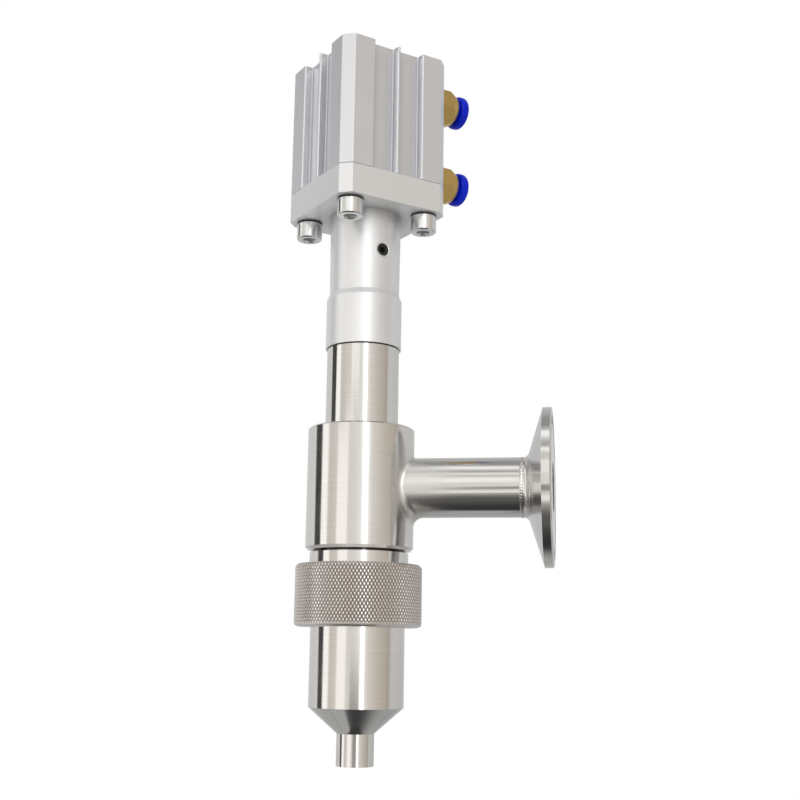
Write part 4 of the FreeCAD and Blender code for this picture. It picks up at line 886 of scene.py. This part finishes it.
# %% Cards
# A card reaches up from one angle to another. Its left and right edges are given at both of them.
CARDS = {
    "black flag": dict(
        up=(-12, 40), left=(-97, -119), right=(-79, -92), level=0.06, warmth=0.0, soft=2.0),
    "white panel at the left": dict(
        up=(-30, 45), left=(-78, -91), right=(-62, -72), level=1.12, warmth=0.08, soft=2.0),
    "grey card low at the left": dict(
        up=(-74, -58), left=(-200, -200), right=(-95, -95), level=0.42, warmth=0.0, soft=2.0),
    "white panel at the front": dict(
        up=(-20, 10), left=(-42, -44), right=(-20, -20), level=1.08, warmth=0.12, soft=3.0),
    "grey card low in front": dict(
        up=(-14, -5), left=(-11, -9), right=(14, 12), level=0.30, warmth=0.2, soft=4.0),
    "white card above the front": dict(
        up=(12, 30), left=(-30, -30), right=(-4, -4), level=1.05, warmth=0.05, soft=4.0),
    "strip light": dict(
        up=(-20, 45), left=(21, 0), right=(24, 16), level=3.2, warmth=0.0, soft=4.0),
    "warm card low at the right": dict(
        up=(-64, -40), left=(66, 66), right=(106, 106), level=0.55, warmth=0.1, soft=6.0),
}
CARD_ENDS_SOFT = 3.0


def inside(value, low, high, soft):
    """1 between low and high and 0 outside, over an edge that is soft degrees wide."""
    return eased((value - low) / soft + 0.5) * eased((high - value) / soft + 0.5)


def tent_light(around, above):
    """Colour of the tent in a direction: the cloth, with each card laid over it in turn."""
    colour = cloth_light(around, above)
    for card in CARDS.values():
        left_edge = np.interp(above, card["up"], card["left"])
        right_edge = np.interp(above, card["up"], card["right"])
        cover = inside(around, left_edge, right_edge, card["soft"])
        cover = cover * inside(above, *card["up"], CARD_ENDS_SOFT)
        colour += (tinted(card["level"], card["warmth"]) - colour) * cover[..., None]
    return colour


print("cards: " + ", ".join(CARDS))

# %% [markdown]
# ## The tent
# The tent is a large ball round the nozzle, and each of its points carries its colour. A picture on
# the world's sky could do the same, but a picture would be a file, and the nozzle's own place in the
# tent would not count. Only glossy rays see the ball, so it shapes the reflections and leaves the
# shadows to the lamps.

# %% Tent
TENT_RADIUS = 1.5
TENT_TURN = 4.3
TENT_COLUMNS = 601
TENT_ROWS = 181
around, above = np.meshgrid(
    np.linspace(-180.0, 180.0, TENT_COLUMNS), np.linspace(-90.0, 90.0, TENT_ROWS)
)
ring = TENT_RADIUS * np.cos(np.radians(above))
tent_x = NOZZLE_MIDDLE.x + ring * np.sin(np.radians(around + TENT_TURN))
tent_y = NOZZLE_MIDDLE.y - ring * np.cos(np.radians(around + TENT_TURN))
tent_z = NOZZLE_MIDDLE.z + TENT_RADIUS * np.sin(np.radians(above))
tent = grid_mesh("tent", np.stack([tent_x, tent_y, tent_z], -1), close_columns=False)
glow = tent.data.attributes.new("glow", "FLOAT_COLOR", "POINT")
light = np.dstack([tent_light(around, above), np.ones_like(around)])
glow.data.foreach_set("color", light.astype(np.float32).ravel())
tent.visible_camera = False
tent.visible_diffuse = False
tent.visible_transmission = False
tent.visible_shadow = False

cloth = bpy.data.materials.new("tent_cloth")
cloth.use_nodes = True
cloth.node_tree.nodes.clear()
panel = add_node(cloth.node_tree, "ShaderNodeAttribute", attribute_name="glow")
shine = result(cloth.node_tree, "ShaderNodeEmission", "Emission", panel.outputs["Color"])
feed(cloth.node_tree, shine, add_node(cloth.node_tree, "ShaderNodeOutputMaterial").inputs["Surface"])
tent.data.materials.append(cloth)
print(f"tent {TENT_RADIUS} m in radius, turned by {TENT_TURN} degrees")

# %% [markdown]
# ## The floor
# The nozzle hangs on its machine, so the floor lies well below it. A floor with an edge would show a
# horizon. Near the nozzle this one is a plain pale surface that takes the shadow, and further out
# it turns into the white of the background.

# %% Floor
FLOOR_HEIGHT = -0.25
FLOOR_HALF = 6.0
FLOOR_PALE = (0.86, 0.86, 0.86, 1.0)
FLOOR_NEAR = 0.5
FLOOR_FAR = 1.6
across, deep = np.meshgrid([-FLOOR_HALF, FLOOR_HALF], [-FLOOR_HALF, FLOOR_HALF])
floor_points = np.dstack([across, deep, np.full((2, 2), FLOOR_HEIGHT)])
floor = grid_mesh("floor", floor_points, close_columns=False)
floor.visible_glossy = False

ground = bpy.data.materials.new("floor")
ground.use_nodes = True
tree = ground.node_tree
tree.nodes.clear()
distance = from_axis_of_z(tree, place_on_object(tree))
paint = result(tree, "ShaderNodeBsdfDiffuse", "BSDF", FLOOR_PALE)
white = add_node(tree, "ShaderNodeEmission").outputs["Emission"]
whiter = ranged(tree, distance, FLOOR_NEAR, FLOOR_FAR, 0.0, 1.0)
mixed = result(tree, "ShaderNodeMixShader", "Shader", whiter, paint, white)
feed(tree, mixed, add_node(tree, "ShaderNodeOutputMaterial").inputs["Surface"])
floor.data.materials.append(ground)
print("floor at", FLOOR_HEIGHT, "m, white beyond", FLOOR_FAR, "m")

# %% [markdown]
# ## Two soft lamps
# The tent gives the steel its bands, but matt pieces and shadows need lamps. One bare lamp would cut
# hard shadows, so two large ones stand in front: the key at the camera's side and a fill far round
# to the left. Reflections don't show them, because the tent's cards are there for that.


# %% Lamps
def soft_lamp(name, angle, height, distance, size, power):
    """A square area lamp that looks at the nozzle's middle, its angles given in degrees.

    The direction to it is (sin(angle) cos(height), -cos(angle) cos(height), sin(height)).
    """
    turn = math.radians(angle)
    lift = math.radians(height)
    level = math.cos(lift)
    towards = Vector((math.sin(turn) * level, -math.cos(turn) * level, math.sin(lift)))
    lamp = bpy.data.objects.new(name, bpy.data.lights.new(name, "AREA"))
    lamp.data.size = size
    lamp.data.energy = power
    scene.collection.objects.link(lamp)
    facing = towards.to_track_quat("Z", "Y").to_matrix().to_4x4()
    lamp.matrix_world = Matrix.Translation(NOZZLE_MIDDLE + towards * distance) @ facing
    lamp.visible_glossy = False
    lamp.visible_camera = False
    print(f"{name}: {power} W at {angle} degrees")


soft_lamp("key_lamp", angle=16, height=35, distance=1.2, size=0.8, power=6.0)
soft_lamp("fill_lamp", angle=-56, height=20, distance=1.2, size=0.8, power=6.3)

# %% [markdown]
# ## White air
# The world gives the even light of a white room. Its strength could be one number, but a background
# as white as paper would light the nozzle too strongly. So the camera, reflections and clear things
# see plain white, and everything else gets less.

# %% World
ROOM_LIGHT = 0.6
SEEN_WHITE = 1.0
world = bpy.data.worlds.new("white_room")
scene.world = world
world.use_nodes = True
air = world.node_tree
air.nodes.clear()
ray = add_node(air, "ShaderNodeLightPath").outputs
seen = number(air, "MAXIMUM", ray["Is Camera Ray"], ray["Is Glossy Ray"])
seen = number(air, "MAXIMUM", seen, ray["Is Transmission Ray"])
sky = add_node(air, "ShaderNodeBackground")
sky.inputs["Color"].default_value = (1.0, 1.0, 1.0, 1.0)
feed(air, ranged(air, seen, 0.0, 1.0, ROOM_LIGHT, SEEN_WHITE), sky.inputs["Strength"])
feed(air, sky.outputs["Background"], add_node(air, "ShaderNodeOutputWorld").inputs["Surface"])
scene.view_settings.view_transform = "Standard"
print("world ready, view transform", scene.view_settings.view_transform)
